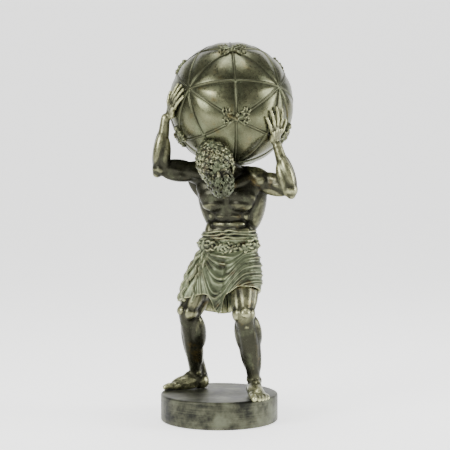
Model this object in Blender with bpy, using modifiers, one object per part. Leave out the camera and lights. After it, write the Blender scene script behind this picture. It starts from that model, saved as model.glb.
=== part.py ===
"""A cast Atlas figurine: a bearded man in a loincloth holds a netted globe on his shoulders.

Three pieces in one frame: the round plinth, the figure that stands on it, and the globe that the
figure carries. Metres, +Z up, +X to the viewer's right, -Y towards the viewer. The origin is the
middle of the plinth's underside. The figure's own sizes are written in figure units: one unit is
1/218 of the standing height that his proportions are shares of.
"""

import math

import bmesh
import bpy
import numpy as np
from mathutils import Matrix, Vector

# Driving dimensions, in metres
PLINTH_DIAMETER = 0.0928
PLINTH_HEIGHT = 0.0215
PLINTH_EDGE_RADIUS = 0.0016
GLOBE_DIAMETER = 0.0976
RIB_WIDTH = 0.0020
RIB_HEIGHT = 0.0008
PANEL_CROWN = 0.0010
BOW_SPAN = 0.024
STATURE = 0.218
TOUCH_GAP = 0.0003

UNIT = STATURE / 218
PLINTH_SIDES = 48
PLINTH_EDGE_STEPS = 2
BODY_VOXEL = 0.75
BODY_SOFTENING = 13
VOXEL = 0.75 * UNIT
FIGURE_SOFTENING = 2
FIGURE_TRIANGLES = 6250
SLIVER = 0.00004
BOW_TRIANGLES = 84
BOW_SOFTENING = 1
GLOBE_SEGMENTS = 3

# Where the globe sits: its lowest point, and the tilt, turn and roll of its net
GLOBE_SEAT = Vector((9.3, 12.5, 179.0))
GLOBE_TILT_BACK = math.radians(20.5)
GLOBE_TURN = math.radians(-130.5)
GLOBE_ROLL = math.radians(-3)

# The pose: the joints of the body, in figure units above the plinth
PELVIS = Vector((7.7, 3.0, 108.3))
WAIST = Vector((10.0, 4.5, 127.0))
CHEST = Vector((9.6, 3.5, 150.0))
NECK_BASE = Vector((7.6, -2.0, 174.5))
SKULL = Vector((-3.2, -26.0, 183.0))
CHIN = Vector((3.6, -32.5, 165.0))
HIP = {"right": Vector((-4.6, 6.0, 107.0)), "left": Vector((19.0, -2.0, 107.0))}
KNEE = {"right": Vector((-25.0, 0.0, 63.0)), "left": Vector((19.4, -28.0, 63.6))}
ANKLE = {"right": Vector((-19.4, 19.0, 11.6)), "left": Vector((27.6, -17.5, 11.2))}
SHOULDER = {"right": Vector((-12.6, 5.5, 174.0)), "left": Vector((25.8, -5.5, 170.5))}
ELBOW = {"right": Vector((-46.9, -5.0, 177.2)), "left": Vector((55.4, -20.0, 161.2))}
KNEE_FRONT = {"right": Vector((-0.80, -0.60, 0.0)), "left": Vector((0.10, -1.0, 0.0))}
TOES = {"right": Vector((-0.97, -0.22, 0.0)), "left": Vector((0.16, -0.98, 0.0))}
OUTER = {"right": Vector((-1.0, 0.0, 0.0)), "left": Vector((1.0, 0.0, 0.0))}
CHEST_FRONT = Vector((-0.29, -0.95, -0.08))
PELVIS_FRONT = Vector((-0.17, -0.98, 0.0))
# How far out the back muscle runs, at the waist and under the arm: his left side, his right side
FLANK = {1: (16.0, 26.2), -1: (13.8, 23.8)}
# How far to the side the inner calf muscle sits
INNER_CALF = {"right": -5.0, "left": -3.4}

# Each hand on the globe: where the palm's middle lies and where the fingers point, both seen
# from the globe's centre, and the spread between the fingers
PALM = {"right": Vector((-0.892, -0.445, -0.077)), "left": Vector((0.658, -0.60, -0.456))}
FINGERS = {"right": Vector((0.44, -0.43, 0.78)), "left": Vector((-0.08, -0.38, 0.92))}
FINGER_SPREAD = {"right": math.radians(8), "left": math.radians(12)}
THUMB_SIDE = {"right": 1.0, "left": -1.0}
FINGER_LENGTHS = (16.0, 17.5, 16.5, 13.5)
PHALANX_SHARES = (0.46, 0.30, 0.24)
FINGER_RADIUS = 1.55
PALM_LENGTH, PALM_WIDTH, PALM_THICKNESS = 11.0, 10.6, 4.4

# The loincloth hangs round an upright axis. Bearings are in degrees from +X, seen from above.
CLOTH_AXIS = Vector((6.5, -2.0, 0.0))
CLOTH_TOP, FOLDS_TOP, CLOTH_THICKNESS = 122.0, 113.0, 1.5
HEM = ((-180, 74), (-155, 79), (-140, 80), (-131, 78.5), (-122, 71), (-113, 65.5), (-106, 64.5),
       (-101, 73), (-96, 79.5), (-84, 83), (-72, 87.5), (-50, 86.5), (-30, 81.5), (-5, 74), (30, 68),
       (80, 62), (110, 61), (140, 63), (165, 67))
CLOTH_BEARINGS, CLOTH_ROWS = 220, 56
CLOTH_STANDOFF, APRON_STEP = 1.1, 1.1
FOLDS, FOLD_RELIEF, FOLD_WIDTH = 6, 2.6, 1.9
PLEATS, PLEAT_RELIEF = 17, 1.2

# The belt: thin folds (height, half height, how far each stands out, and how far it follows the
# hips rather than the waist), then a thick twist with a knot on each hip
BANDS = ((127.6, 1.5, -0.2, 0.15), (125.2, 1.7, 0.6, 0.3), (122.6, 1.9, 1.3, 0.6))
BAND_BEADS = 72
TWIST_HEIGHT, TWIST_RADIUS, TWIST_LUMPS = 116.8, 4.0, 66
KNOTS = {"right": (-166, 117.0), "left": (-22, 118.5)}
TAIL_SPAN, TAIL_PLEATS, TAIL_TOP, TAIL_FOOT = (-163, -203), 5, 119.0, 72.5

# Hair and beard: the half lengths of the mass down, forward and to the side, and its locks
SCALP = (18.0, 13.6, 13.2)
BEARD = (12.4, 9.6, 9.4)
JAW = Vector((0.9, -35.0, 168.0))
BROW, FACE_FOOT = Vector((-0.6, -31.5, 178.0)), Vector((2.6, -32.0, 163.0))
SCALP_LOCKS, BEARD_LOCKS = 118, 64
LOCK_RADIUS = 2.7


def clear_scene():
    for obj in list(bpy.data.objects):
        bpy.data.objects.remove(obj, do_unlink=True)


def new_collection(name):
    collection = bpy.data.collections.new(name)
    bpy.context.scene.collection.children.link(collection)
    return collection


def bronze(name, colour, roughness):
    material = bpy.data.materials.new(name)
    material.use_nodes = True
    shader = material.node_tree.nodes["Principled BSDF"]
    shader.inputs["Base Color"].default_value = (*colour, 1.0)
    shader.inputs["Metallic"].default_value = 0.7
    shader.inputs["Roughness"].default_value = roughness
    return material


def linked(name, mesh, collection, material=None):
    obj = bpy.data.objects.new(name, mesh)
    collection.objects.link(obj)
    if material:
        mesh.materials.append(material)
    return obj


def object_from(bm, name, collection, material=None):
    mesh = bpy.data.meshes.new(name)
    bm.to_mesh(mesh)
    bm.free()
    return linked(name, mesh, collection, material)


def cutter_collection():
    return bpy.data.collections["figurine cutters"]


def baked(obj):
    """The object's mesh with its modifiers applied."""
    graph = bpy.context.evaluated_depsgraph_get()
    mesh = bpy.data.meshes.new_from_object(obj.evaluated_get(graph))
    obj.modifiers.clear()
    obj.data = mesh
    return obj


# The globe

def globe_radius():
    return GLOBE_DIAMETER / 2


def on_plinth(point):
    """A point of the figure, from figure units above the plinth to metres."""
    return point * UNIT + Vector((0, 0, PLINTH_HEIGHT + TOUCH_GAP))


def globe_centre():
    return on_plinth(GLOBE_SEAT) + Vector((0, 0, globe_radius()))


def globe_turn():
    upright = Matrix.Rotation(-GLOBE_TILT_BACK, 4, "X") @ Matrix.Rotation(GLOBE_TURN, 4, "Z")
    return Matrix.Rotation(GLOBE_ROLL, 4, "Y") @ upright


def net_planes():
    """Normals of the nine great circles of the net: three square ones and six diagonal ones."""
    square = [(1, 0, 0), (0, 1, 0), (0, 0, 1)]
    diagonal = [(1, 1, 0), (1, -1, 0), (1, 0, 1), (1, 0, -1), (0, 1, 1), (0, 1, -1)]
    return [Vector(normal).normalized() for normal in square + diagonal]


def net_knots():
    """The eight points where three diagonal cords cross, each under a bow."""
    return [Vector((x, y, z)).normalized() for x in (1, -1) for y in (1, -1) for z in (1, -1)]


def skin_radius(direction, planes):
    """Radius of the globe's skin: a raised cord on each great circle, a soft crown between."""
    away = min(abs(direction.dot(normal)) for normal in planes) * globe_radius()
    if away < RIB_WIDTH * 0.1:
        return globe_radius() + RIB_HEIGHT
    return globe_radius() + PANEL_CROWN * min(1.0, away / (globe_radius() * 0.16))


def netted_ball():
    """A cube cut along its mirror planes, inset at the cords and blown up to a ball."""
    bm = bmesh.new()
    bmesh.ops.create_cube(bm, size=2.0)
    bmesh.ops.subdivide_edges(bm, edges=bm.edges[:], cuts=1, use_grid_fill=True)
    for face in list(bm.faces):
        by_reach = sorted(face.verts, key=lambda vert: vert.co.length)
        bmesh.utils.face_split(face, by_reach[0], by_reach[-1])
    for vert in bm.verts:
        vert.co.normalize()
    bmesh.ops.inset_individual(bm, faces=bm.faces[:], thickness=RIB_WIDTH / 2 / globe_radius(),
                               use_even_offset=True)
    rim = [edge for edge in bm.edges if not shares_knot(edge)]
    bmesh.ops.subdivide_edges(bm, edges=rim, cuts=GLOBE_SEGMENTS - 1, use_grid_fill=True)
    bmesh.ops.triangulate(bm, faces=bm.faces[:])
    planes = net_planes()
    for vert in bm.verts:
        direction = vert.co.normalized()
        vert.co = direction * skin_radius(direction, planes)
    return bm


def shares_knot(edge):
    """Whether an edge is one of the short ones that the inset made at a corner."""
    return edge.calc_length() < 4 * RIB_WIDTH / globe_radius()


def bow_masses(normal, up):
    """A knotted ribbon laid on the globe: a knot, crumpled loops and short tails."""
    across = up.cross(normal).normalized()
    up = normal.cross(across)
    half = BOW_SPAN / 2
    parts = [(0.0, 0.06, 0.24, 0.28, 0.22, 0.0)]
    for side in (1, -1):
        parts.append((side * 0.34, 0.20, 0.36, 0.16, 0.15, side * 0.55))
        parts.append((side * 0.60, 0.46, 0.36, 0.30, 0.15, side * 0.50))
        parts.append((side * 0.66, -0.06, 0.24, 0.20, 0.13, 0.0))
        parts.append((side * 0.36, -0.24, 0.32, 0.13, 0.12, side * -0.75))
    masses = []
    for right, rise, long, short, proud, turn in parts:
        middle = normal * globe_radius() + across * right * half + up * rise * half
        middle = middle.normalized() * (globe_radius() + RIB_HEIGHT)
        out = middle.normalized()
        along = (across * math.cos(turn) + up * math.sin(turn))
        along = (along - out * along.dot(out)).normalized()
        masses.append((middle, along * long * half, out.cross(along) * short * half,
                       out * proud * half))
    return masses


def build_globe(collection, material):
    globe = object_from(netted_ball(), "globe", collection, material)
    bows = []
    for knot in net_knots():
        bows.extend(bow_masses(knot, Vector((0, 0, 1))))
    bow_lumps = helper(linked("bow lumps", mesh_of(bows, 2), cutter_collection()))
    soften(fused(bow_lumps, BOW_SPAN / 40).data, BOW_SOFTENING, [])
    decimate_to(bow_lumps, BOW_TRIANGLES * len(net_knots()))
    union = globe.modifiers.new("bows", "BOOLEAN")
    union.operation = "UNION"
    union.solver = "EXACT"
    union.use_self = True
    union.object = bow_lumps
    globe.matrix_world = Matrix.Translation(globe_centre()) @ globe_turn()
    bow_lumps.matrix_world = globe.matrix_world
    largest_piece(baked(globe).data)
    globe.data.shade_smooth()
    globe.data.set_sharp_from_angle(angle=math.radians(16))
    return globe


def decimate_to(obj, count):
    """Leaves about so many triangles, the most of them where the form turns."""
    decimate = obj.modifiers.new("facets", "DECIMATE")
    decimate.use_collapse_triangulate = True
    decimate.ratio = count / sum(len(face.vertices) - 2 for face in obj.data.polygons)


def helper(obj):
    obj.hide_render = True
    obj.display_type = "WIRE"
    return obj


# The plinth

def build_plinth(collection, material):
    bm = bmesh.new()
    bmesh.ops.create_cone(bm, cap_ends=True, segments=PLINTH_SIDES, depth=PLINTH_HEIGHT,
                          radius1=PLINTH_DIAMETER / 2, radius2=PLINTH_DIAMETER / 2)
    bmesh.ops.translate(bm, verts=bm.verts[:], vec=(0, 0, PLINTH_HEIGHT / 2))
    plinth = object_from(bm, "plinth", collection, material)
    bevel = plinth.modifiers.new("worn edges", "BEVEL")
    bevel.width = PLINTH_EDGE_RADIUS
    bevel.segments = PLINTH_EDGE_STEPS
    bevel.limit_method = "ANGLE"
    bevel.angle_limit = math.radians(60)
    plinth.data.shade_smooth()
    return plinth


# The body: rounded masses laid along its bones

def unit_ball(detail):
    """The points and faces of a ball of radius one."""
    bm = bmesh.new()
    bmesh.ops.create_icosphere(bm, subdivisions=detail, radius=1.0)
    points = np.array([vert.co for vert in bm.verts])
    faces = [[vert.index for vert in face.verts] for face in bm.faces]
    bm.free()
    return points, faces


def mesh_of(masses, detail=3):
    """One mesh of stretched balls, each given by its middle and its three half lengths."""
    points, faces = unit_ball(detail)
    all_points, all_faces = [], []
    for index, (middle, long, wide, thick) in enumerate(masses):
        if long.cross(wide).dot(thick) < 0:
            wide = -wide
        shape = np.array((long, wide, thick))
        all_points.append(points @ shape + np.array(middle))
        first = index * len(points)
        all_faces.extend([first + corner for corner in face] for face in faces)
    mesh = bpy.data.meshes.new("rounded masses")
    mesh.from_pydata(np.concatenate(all_points).tolist(), [], all_faces)
    return mesh


class Limb:
    """A stretch of the body between two joints, with its own front and its own outer side."""

    def __init__(self, masses, start, end, front, outer):
        self.masses, self.start, self.end = masses, start, end
        self.along = (end - start).normalized()
        self.front = (front - self.along * front.dot(self.along)).normalized()
        side = self.along.cross(self.front)
        self.side = side if side.dot(outer) > 0 else -side

    def at(self, share, front=0.0, side=0.0):
        """A point at a share of the limb's length, so far to its front and to its outer side."""
        return self.start.lerp(self.end, share) + self.front * front + self.side * side

    def muscle(self, start, end, thick, wide=None):
        """A spindle between two points of the limb."""
        a, b = self.at(*start), self.at(*end)
        long = (b - a) / 2
        front = (self.front - long * self.front.dot(long) / long.length_squared).normalized()
        side = long.cross(front).normalized()
        self.masses.append(((a + b) / 2, long, side * (wide or thick), front * thick))

    def ball(self, at, long, wide, thick):
        """A rounded mass with its sizes along the limb, to its side and to its front."""
        self.masses.append((self.at(*at), self.along * long, self.side * wide,
                            self.front * thick))

    def bone(self, start, end, first, last):
        """A straight tapering core of beads that lie close enough to read as one."""
        a, b = self.at(*start), self.at(*end)
        steps = max(2, math.ceil((b - a).length / (0.4 * min(first, last))))
        for step in range(steps + 1):
            share = step / steps
            radius = first + (last - first) * share
            self.masses.append((a.lerp(b, share), self.along * radius, self.side * radius,
                                self.front * radius))


def add_trunk(masses):
    side = Vector((1, 0, 0))
    belly = Limb(masses, PELVIS, CHEST, PELVIS_FRONT, side)
    belly.ball((-0.05, -0.5, 0), 13, 21.5, 13)
    belly.ball((0.45, 0.0, 1.4), 17, 18.0, 12)
    for sign in (1, -1):
        belly.ball((-0.16, -8.0, sign * 9.6), 11.5, 10.5, 9.5)
        belly.ball((0.42, 1.5, sign * 14.6), 11.0, 5.6, 8.2)
        belly.muscle((0.0, -7.5, sign * 4.6), (1.2, -9.5, sign * 5.0), 4.0, 4.6)
    chest = Limb(masses, WAIST, NECK_BASE, CHEST_FRONT, side)
    chest.ball((0.46, -2.2, 0), 23, 21.5, 13.3)
    chest.ball((0.80, -2.0, 0), 10, 20.0, 11.0)
    for sign in (1, -1):
        add_chest_side(chest, sign)


def add_chest_side(chest, sign):
    """Breast, belly, side and back muscles on one side, with the arm raised."""
    flank, armpit = FLANK[sign]
    chest.ball((0.50, 8.6, sign * 10.8), 6.0, 10.2, 5.2)
    chest.ball((0.62, 7.6, sign * 12.0), 9.0, 11.6, 5.6)
    chest.muscle((0.58, 8.2, sign * 8.4), (0.86, 4.0, sign * 25.0), 4.6, 8.2)
    chest.muscle((0.78, 8.4, sign * 2.6), (0.92, 5.4, sign * 21.0), 3.6, 5.0)
    chest.ball((0.30, 6.4, sign * 2.6), 5.2, 9.4, 4.9)
    chest.ball((0.31, 3.0, sign * 13.0), 6.4, 6.0, 6.0)
    chest.ball((0.17, 7.8, sign * 3.6), 3.7, 10.4, 5.4)
    chest.ball((0.05, 8.6, sign * 6.0), 5.2, 12.0, 5.2)
    chest.muscle((0.0, -2.0, sign * flank), (0.84, -2.5, sign * armpit), 9.5, 6.8)
    chest.muscle((0.50, -3.0, sign * 21.0), (0.98, -3.0, sign * 35.0), 4.6, 5.0)
    chest.muscle((0.30, -8.5, sign * 11.5), (0.88, -7.0, sign * 21.0), 6.0, 9.0)
    chest.ball((0.70, -12.0, sign * 10.5), 10.0, 8.4, 4.6)
    chest.muscle((0.55, -12.0, sign * 3.0), (1.22, -10.0, sign * 5.0), 6.0, 6.4)
    chest.muscle((0.90, -6.0, sign * 3.0), (0.98, -3.0, sign * 22.0), 6.0, 7.4)
    chest.muscle((0.93, 6.5, sign * 2.0), (0.99, 2.5, sign * 20.0), 1.9, 2.0)


def add_leg(masses, name):
    thigh = Limb(masses, HIP[name], KNEE[name], KNEE_FRONT[name], OUTER[name])
    thigh.bone((0.0, 0, 0), (1.0, 0, 0), 10.0, 7.6)
    thigh.muscle((-0.10, 5.0, 0), (1.02, 4.6, 0.4), 7.2, 7.6)
    thigh.muscle((-0.12, 1.5, 6.0), (0.99, 2.6, 4.4), 7.0, 6.8)
    thigh.muscle((0.24, 2.4, -5.0), (1.06, 3.0, -4.4), 6.6, 6.2)
    thigh.muscle((-0.12, -2.0, -5.6), (0.80, -1.0, -4.4), 8.8, 8.0)
    thigh.muscle((-0.16, -6.0, 3.0), (1.08, -5.0, 5.2), 6.2, 5.0)
    thigh.muscle((-0.10, -6.0, -3.0), (1.08, -5.0, -5.0), 6.0, 4.8)
    thigh.ball((1.00, 6.9, 0), 4.4, 4.4, 3.4)
    thigh.ball((0.97, 1.2, 3.6), 6.6, 5.0, 6.2)
    thigh.ball((0.97, 1.2, -4.6), 6.6, 5.2, 6.4)
    shank = Limb(masses, KNEE[name], ANKLE[name], KNEE_FRONT[name], OUTER[name])
    shank.bone((0.0, 0, 0), (1.0, -0.6, 0), 7.6, 5.0)
    shank.muscle((-0.02, 3.8, -0.6), (1.02, 1.8, 0.4), 3.6, 3.6)
    shank.ball((0.12, 5.2, 0), 3.6, 3.2, 2.4)
    shank.muscle((0.0, -4.0, INNER_CALF[name]), (0.60, -4.6, INNER_CALF[name] + 0.8), 7.2, 6.4)
    shank.muscle((0.0, -4.0, 5.4), (0.55, -4.4, 5.6), 7.0, 6.8)
    shank.muscle((0.14, -3.0, 0), (0.92, -3.4, 0), 5.8, 7.8)
    shank.muscle((0.06, 2.2, 4.2), (0.80, 1.4, 2.6), 4.4, 3.8)
    shank.muscle((0.10, -0.6, 6.4), (0.92, -1.6, 4.2), 4.6, 4.0)
    shank.muscle((0.50, -3.0, 0), (1.04, -4.8, 0), 4.6, 4.4)
    shank.bone((0.60, -4.4, 0), (1.12, -6.8, 0), 3.4, 4.6)
    shank.ball((0.955, -0.4, -4.2), 3.2, 2.0, 3.0)
    shank.ball((0.995, -0.8, 4.2), 3.2, 2.0, 2.8)
    add_foot(masses, name)


def add_foot(masses, name):
    """A bare foot flat on the plinth: heel, arch, ball and five toes."""
    heel = Vector((ANKLE[name].x, ANKLE[name].y, 0.0))
    foot = Limb(masses, heel, heel + TOES[name].normalized() * 10, Vector((0, 0, 1)), OUTER[name])
    foot.ball((-0.46, 5.4, 0), 7.0, 6.0, 6.6)
    foot.bone((-0.16, 8.4, 0), (0.40, 7.6, 0), 5.2, 5.2)
    foot.ball((0.42, 9.4, 0), 5.6, 4.8, 4.6)
    foot.muscle((-0.5, 8.0, -0.6), (2.05, 3.0, -1.0), 5.8, 6.4)
    foot.muscle((-0.5, 3.6, 2.2), (2.1, 2.2, 3.8), 3.2, 4.2)
    foot.muscle((-0.7, 3.4, -2.2), (2.1, 2.6, -4.2), 3.4, 3.4)
    foot.ball((1.5, 3.0, -0.2), 6.4, 7.4, 3.1)
    foot.ball((1.70, 3.2, -4.6), 4.0, 3.4, 3.2)
    toe_bases = ((1.78, -5.0, 2.6, 7.8), (1.80, -1.0, 1.75, 7.4), (1.70, 2.0, 1.7, 6.8),
                 (1.56, 4.8, 1.6, 5.8), (1.38, 7.3, 1.5, 4.8))
    for base, side, radius, length in toe_bases:
        knuckle = (base + length * 0.06, radius + 0.7, side)
        foot.bone((base, 2.6, side), knuckle, radius, radius)
        foot.bone(knuckle, (base + length * 0.1, radius * 0.88, side), radius, radius * 0.88)


def add_neck_and_head(masses):
    side = Vector((1, 0, 0))
    neck = Limb(masses, NECK_BASE + Vector((0, 0, -2)), SKULL, Vector((0, 0, -1)), side)
    neck.bone((-0.2, 0, 0), (0.9, 0, 0), 10.0, 8.4)
    neck.muscle((-0.3, -3.0, 7.0), (1.0, -1.0, 5.0), 6.4)
    neck.muscle((-0.3, -3.0, -7.0), (1.0, -1.0, -5.0), 6.4)
    head = head_frame(masses)
    head.ball((-0.06, -1.0, 0), 12.6, 11.0, 13.4)
    head.ball((0.50, 2.4, 0), 12.0, 8.6, 8.4)
    face = Limb(masses, BROW, FACE_FOOT, Vector((-0.04, -0.96, -0.20)), side)
    face.ball((0.40, 1.0, 0), 11.0, 8.8, 7.6)
    face.ball((0.14, 5.6, 0), 2.0, 7.2, 3.0)
    face.ball((0.92, 6.0, 0), 4.2, 4.6, 4.0)
    face.muscle((0.16, 8.6, 0), (0.58, 12.0, 0), 1.9, 1.5)
    face.ball((0.56, 11.0, 0), 1.6, 2.6, 1.9)
    face.ball((0.76, 9.4, 0), 1.2, 3.2, 1.8)
    for sign in (1, -1):
        face.ball((0.50, 6.2, sign * 5.0), 2.8, 2.5, 2.6)
        face.ball((0.31, 7.0, sign * 3.6), 1.5, 2.1, 1.5)


def head_frame(masses):
    """From the skull's middle down to the chin, with the face to the front."""
    return Limb(masses, SKULL, CHIN, Vector((0.25, -1.0, 0.0)), Vector((1, 0, 0)))


def spread_over(count):
    """Directions spread evenly over a ball by the golden angle."""
    golden_angle = math.pi * (3 - math.sqrt(5))
    for index in range(count):
        height = 1 - 2 * (index + 0.5) / count
        reach = math.sqrt(1 - height * height)
        angle = golden_angle * index
        yield reach * math.cos(angle), reach * math.sin(angle), height


def add_lock(masses, middle, out, radius, turn):
    """A curled lock, like a comma: lumps that shrink round a hollow."""
    across = Matrix.Rotation(turn, 3, out) @ out.orthogonal().normalized()
    along = out.cross(across)
    for step in range(5):
        angle = math.tau * step / 6
        arm = across * math.cos(angle) + along * math.sin(angle)
        lump = radius * (0.60 - 0.06 * step)
        centre = middle + arm * radius * 0.62 + out * radius * 0.12 * (2 - step)
        masses.append((centre, across * lump, along * lump, out * lump))


def add_locks(head, middle, size, count, covers):
    """Locks all over a rounded mass, where it is covered with hair."""
    for index, (front, side, down) in enumerate(spread_over(count)):
        if not covers(front, side, down):
            continue
        spot = head.front * front * size[1] + head.side * side * size[2]
        spot += head.along * down * size[0]
        out = (head.front * front / size[1] + head.side * side / size[2]
               + head.along * down / size[0]).normalized()
        add_lock(head.masses, middle + spot, out, LOCK_RADIUS, 1.7 * index)


def on_scalp(front, side, down):
    face = front > 0.25 and down > 0.60 and abs(side) < 0.62
    return not face and down < 0.90


def on_beard(front, side, down):
    return front > -0.4 and (down > 0.10 or abs(side) > 0.70)


def add_hair(masses):
    head = head_frame(masses)
    scalp = head.at(0.02, -1.2, 0)
    head.ball((0.02, -1.2, 0), SCALP[0] - 1.6, SCALP[2] - 1.4, SCALP[1] - 1.6)
    add_locks(head, scalp, SCALP, SCALP_LOCKS, on_scalp)
    beard = Limb(masses, JAW, JAW + head.along, head.front, head.side)
    beard.ball((0, -0.8, 0), BEARD[0] - 2.2, BEARD[2] - 1.8, BEARD[1] - 2.2)
    add_locks(beard, JAW, BEARD, BEARD_LOCKS, on_beard)


# The hands, laid on the globe's skin

class GlobeSkin:
    """The globe seen from the figure, in figure units."""

    def __init__(self):
        lift = Vector((0, 0, PLINTH_HEIGHT + TOUCH_GAP))
        self.centre = (globe_centre() - lift) / UNIT
        self.radius = (globe_radius() + PANEL_CROWN + TOUCH_GAP) / UNIT

    def above(self, point, height):
        """The point of the same bearing that stands so high over the skin."""
        return self.centre + (point - self.centre).normalized() * (self.radius + height)

    def out(self, point):
        return (point - self.centre).normalized()


def walk(skin, start, heading, length, height):
    """A step along the skin, and the heading at its end."""
    out = skin.out(start)
    heading = (heading - out * heading.dot(out)).normalized()
    end = skin.above(start + heading * length, height)
    return end, (end - start).normalized()


def wrist_of(skin, name):
    palm = skin.above(skin.centre + PALM[name], PALM_THICKNESS * 0.62)
    back, _ = walk(skin, palm, -FINGERS[name], PALM_LENGTH * 0.72, PALM_THICKNESS * 1.35)
    return back


def add_hand(masses, skin, name):
    """A palm and five fingers pressed to the globe."""
    palm = skin.above(skin.centre + PALM[name], PALM_THICKNESS * 0.52)
    out = skin.out(palm)
    ahead = (FINGERS[name] - out * FINGERS[name].dot(out)).normalized()
    thumb_way = out.cross(ahead) * THUMB_SIDE[name]
    hand = Limb(masses, palm - ahead * PALM_LENGTH / 2, palm + ahead * PALM_LENGTH / 2, out,
                thumb_way)
    hand.ball((0.5, 0, 0), PALM_LENGTH * 0.60, PALM_WIDTH * 0.50, PALM_THICKNESS * 0.52)
    hand.ball((0.18, -0.4, 2.6), 4.6, 2.8, 2.6)
    hand.ball((0.18, -0.4, -2.6), 4.4, 2.6, 2.4)
    for finger, length in enumerate(FINGER_LENGTHS):
        step = 1.5 - finger
        turn = Matrix.Rotation(step * FINGER_SPREAD[name] * THUMB_SIDE[name], 3, out)
        root = hand.at(0.86 - 0.03 * abs(step) ** 2, 0, step * PALM_WIDTH * 0.255)
        spot = skin.above(root, FINGER_RADIUS * 1.25)
        hand.bone((0.30, 0.9, step * PALM_WIDTH * 0.15), (0.84, 0.8, step * PALM_WIDTH * 0.25),
                  1.3, 1.5)
        add_finger(masses, skin, spot, turn @ ahead, length, FINGER_RADIUS)
    thumb_root = skin.above(hand.at(0.20, 0, PALM_WIDTH * 0.40), FINGER_RADIUS * 1.2)
    thumb_ahead = Matrix.Rotation(math.radians(38) * THUMB_SIDE[name], 3, out) @ ahead
    add_finger(masses, skin, thumb_root, thumb_ahead, 13.5, FINGER_RADIUS * 1.14)


def add_finger(masses, skin, spot, heading, length, radius):
    for bone, share in enumerate(PHALANX_SHARES):
        thin = radius * (1 - 0.08 * bone)
        lift = thin * (1.35, 1.15, 0.92)[bone]
        end, heading = walk(skin, spot, heading, length * share, lift)
        for step in range(6):
            waist = 1 - 0.10 * math.sin(math.pi * step / 5)
            at = spot.lerp(end, step / 5)
            size = thin * waist
            masses.append((at, Vector((size, 0, 0)), Vector((0, size, 0)), Vector((0, 0, size))))
        spot = end


def add_arm(masses, skin, name):
    wrist = wrist_of(skin, name)
    bend = wrist - ELBOW[name]
    arm = Limb(masses, SHOULDER[name], ELBOW[name], bend, Vector((0, -1, 0)))
    arm.bone((0.0, 0, 0), (1.0, 0, 0), 7.4, 5.6)
    arm.muscle((-0.28, 1.6, 0), (0.50, 0.6, 0.4), 8.2, 8.8)
    arm.muscle((-0.10, 0.0, 4.8), (0.52, 0.6, 3.4), 6.0, 4.8)
    arm.muscle((-0.10, 0.0, -4.8), (0.52, 0.0, -3.4), 6.0, 4.8)
    arm.muscle((-0.62, -6.0, 0), (0.44, -3.4, 0), 6.4, 6.8)
    arm.muscle((0.20, 3.6, 0.4), (0.98, 3.4, 0.6), 5.6, 5.6)
    arm.muscle((0.12, -3.4, 2.2), (0.96, -3.6, 1.8), 5.4, 4.6)
    arm.muscle((0.12, -3.4, -2.2), (0.92, -3.6, -2.0), 5.6, 4.4)
    arm.muscle((0.42, 0.4, 3.8), (1.04, 1.4, 3.6), 3.6, 3.2)
    arm.ball((1.04, -4.0, 0), 3.8, 3.6, 3.4)
    arm.ball((0.99, 0.0, 3.8), 4.0, 2.8, 3.8)
    arm.ball((0.99, 0.0, -3.8), 4.0, 2.8, 3.8)
    forearm = Limb(masses, ELBOW[name], wrist, -arm.along, arm.side)
    forearm.bone((0.0, 0, 0), (1.0, 0, 0), 5.8, 4.2)
    forearm.muscle((-0.14, 2.8, 2.8), (0.66, 1.8, 2.8), 5.0, 4.6)
    forearm.muscle((-0.04, 2.0, -3.0), (0.74, 1.6, -2.2), 5.2, 4.8)
    forearm.muscle((-0.02, -2.6, 1.6), (0.74, -1.6, 2.0), 4.8, 4.4)
    forearm.muscle((-0.04, -2.8, -2.2), (0.80, -1.4, -1.8), 4.4, 4.0)
    for tendon in (-1.4, 0.0, 1.4):
        forearm.bone((0.45, 2.4, tendon * 1.3), (0.98, 2.5, tendon), 1.9, 1.3)
    forearm.ball((0.98, 0, 0), 3.0, 4.4, 3.5)
    add_hand(masses, skin, name)


# The loincloth

def reach_of(masses, origins, directions):
    """How far the body reaches from each origin along its direction."""
    best = np.zeros(len(origins))
    for middle, long, wide, thick in masses:
        inverse = np.linalg.inv(np.array((long, wide, thick)).T)
        start = (origins - np.array(middle)) @ inverse.T
        way = directions @ inverse.T
        a = (way * way).sum(1)
        b = (start * way).sum(1)
        c = (start * start).sum(1) - 1
        root = b * b - a * c
        reach = np.where(root > 0, (np.sqrt(np.maximum(root, 0)) - b) / a, 0.0)
        best = np.maximum(best, reach)
    return best


def reach_round(masses, bearings, heights):
    """The body's radius round the cloth's axis at each bearing and height."""
    bearings, heights = np.broadcast_arrays(bearings, heights)
    origins = np.stack([np.full(heights.shape, CLOTH_AXIS.x),
                        np.full(heights.shape, CLOTH_AXIS.y), heights], -1).reshape(-1, 3)
    ways = np.stack([np.cos(bearings), np.sin(bearings), 0 * heights], -1).reshape(-1, 3)
    return reach_of(masses, origins, ways).reshape(heights.shape)


def pulled_taut(reach, bearings):
    """Each row of radii drawn out to its convex outline, as cloth bridges a hollow."""
    cosine = np.cos(bearings[:, None] - bearings[None, :])
    support = (reach[:, :, None] * cosine[None]).max(1)
    facing = np.where(cosine > 0.15, cosine, np.nan)
    return np.nanmin(support[:, None, :] / facing[None], axis=2)


def smooth_round(values, rounds):
    for _ in range(rounds):
        values = (np.roll(values, 1, 1) + 2 * values + np.roll(values, -1, 1)) / 4
        inner = (values[:-2] + 2 * values[1:-1] + values[2:]) / 4
        values = np.concatenate([values[:1], inner, values[-1:]])
    return values


def hem_height(bearings):
    known = np.array(HEM, float)
    around = np.concatenate([known - (360, 0), known, known + (360, 0)])
    degrees = np.degrees(bearings)
    return sum(np.interp(degrees + shift, around[:, 0], around[:, 1]) for shift in (-3, 0, 3)) / 3


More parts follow.
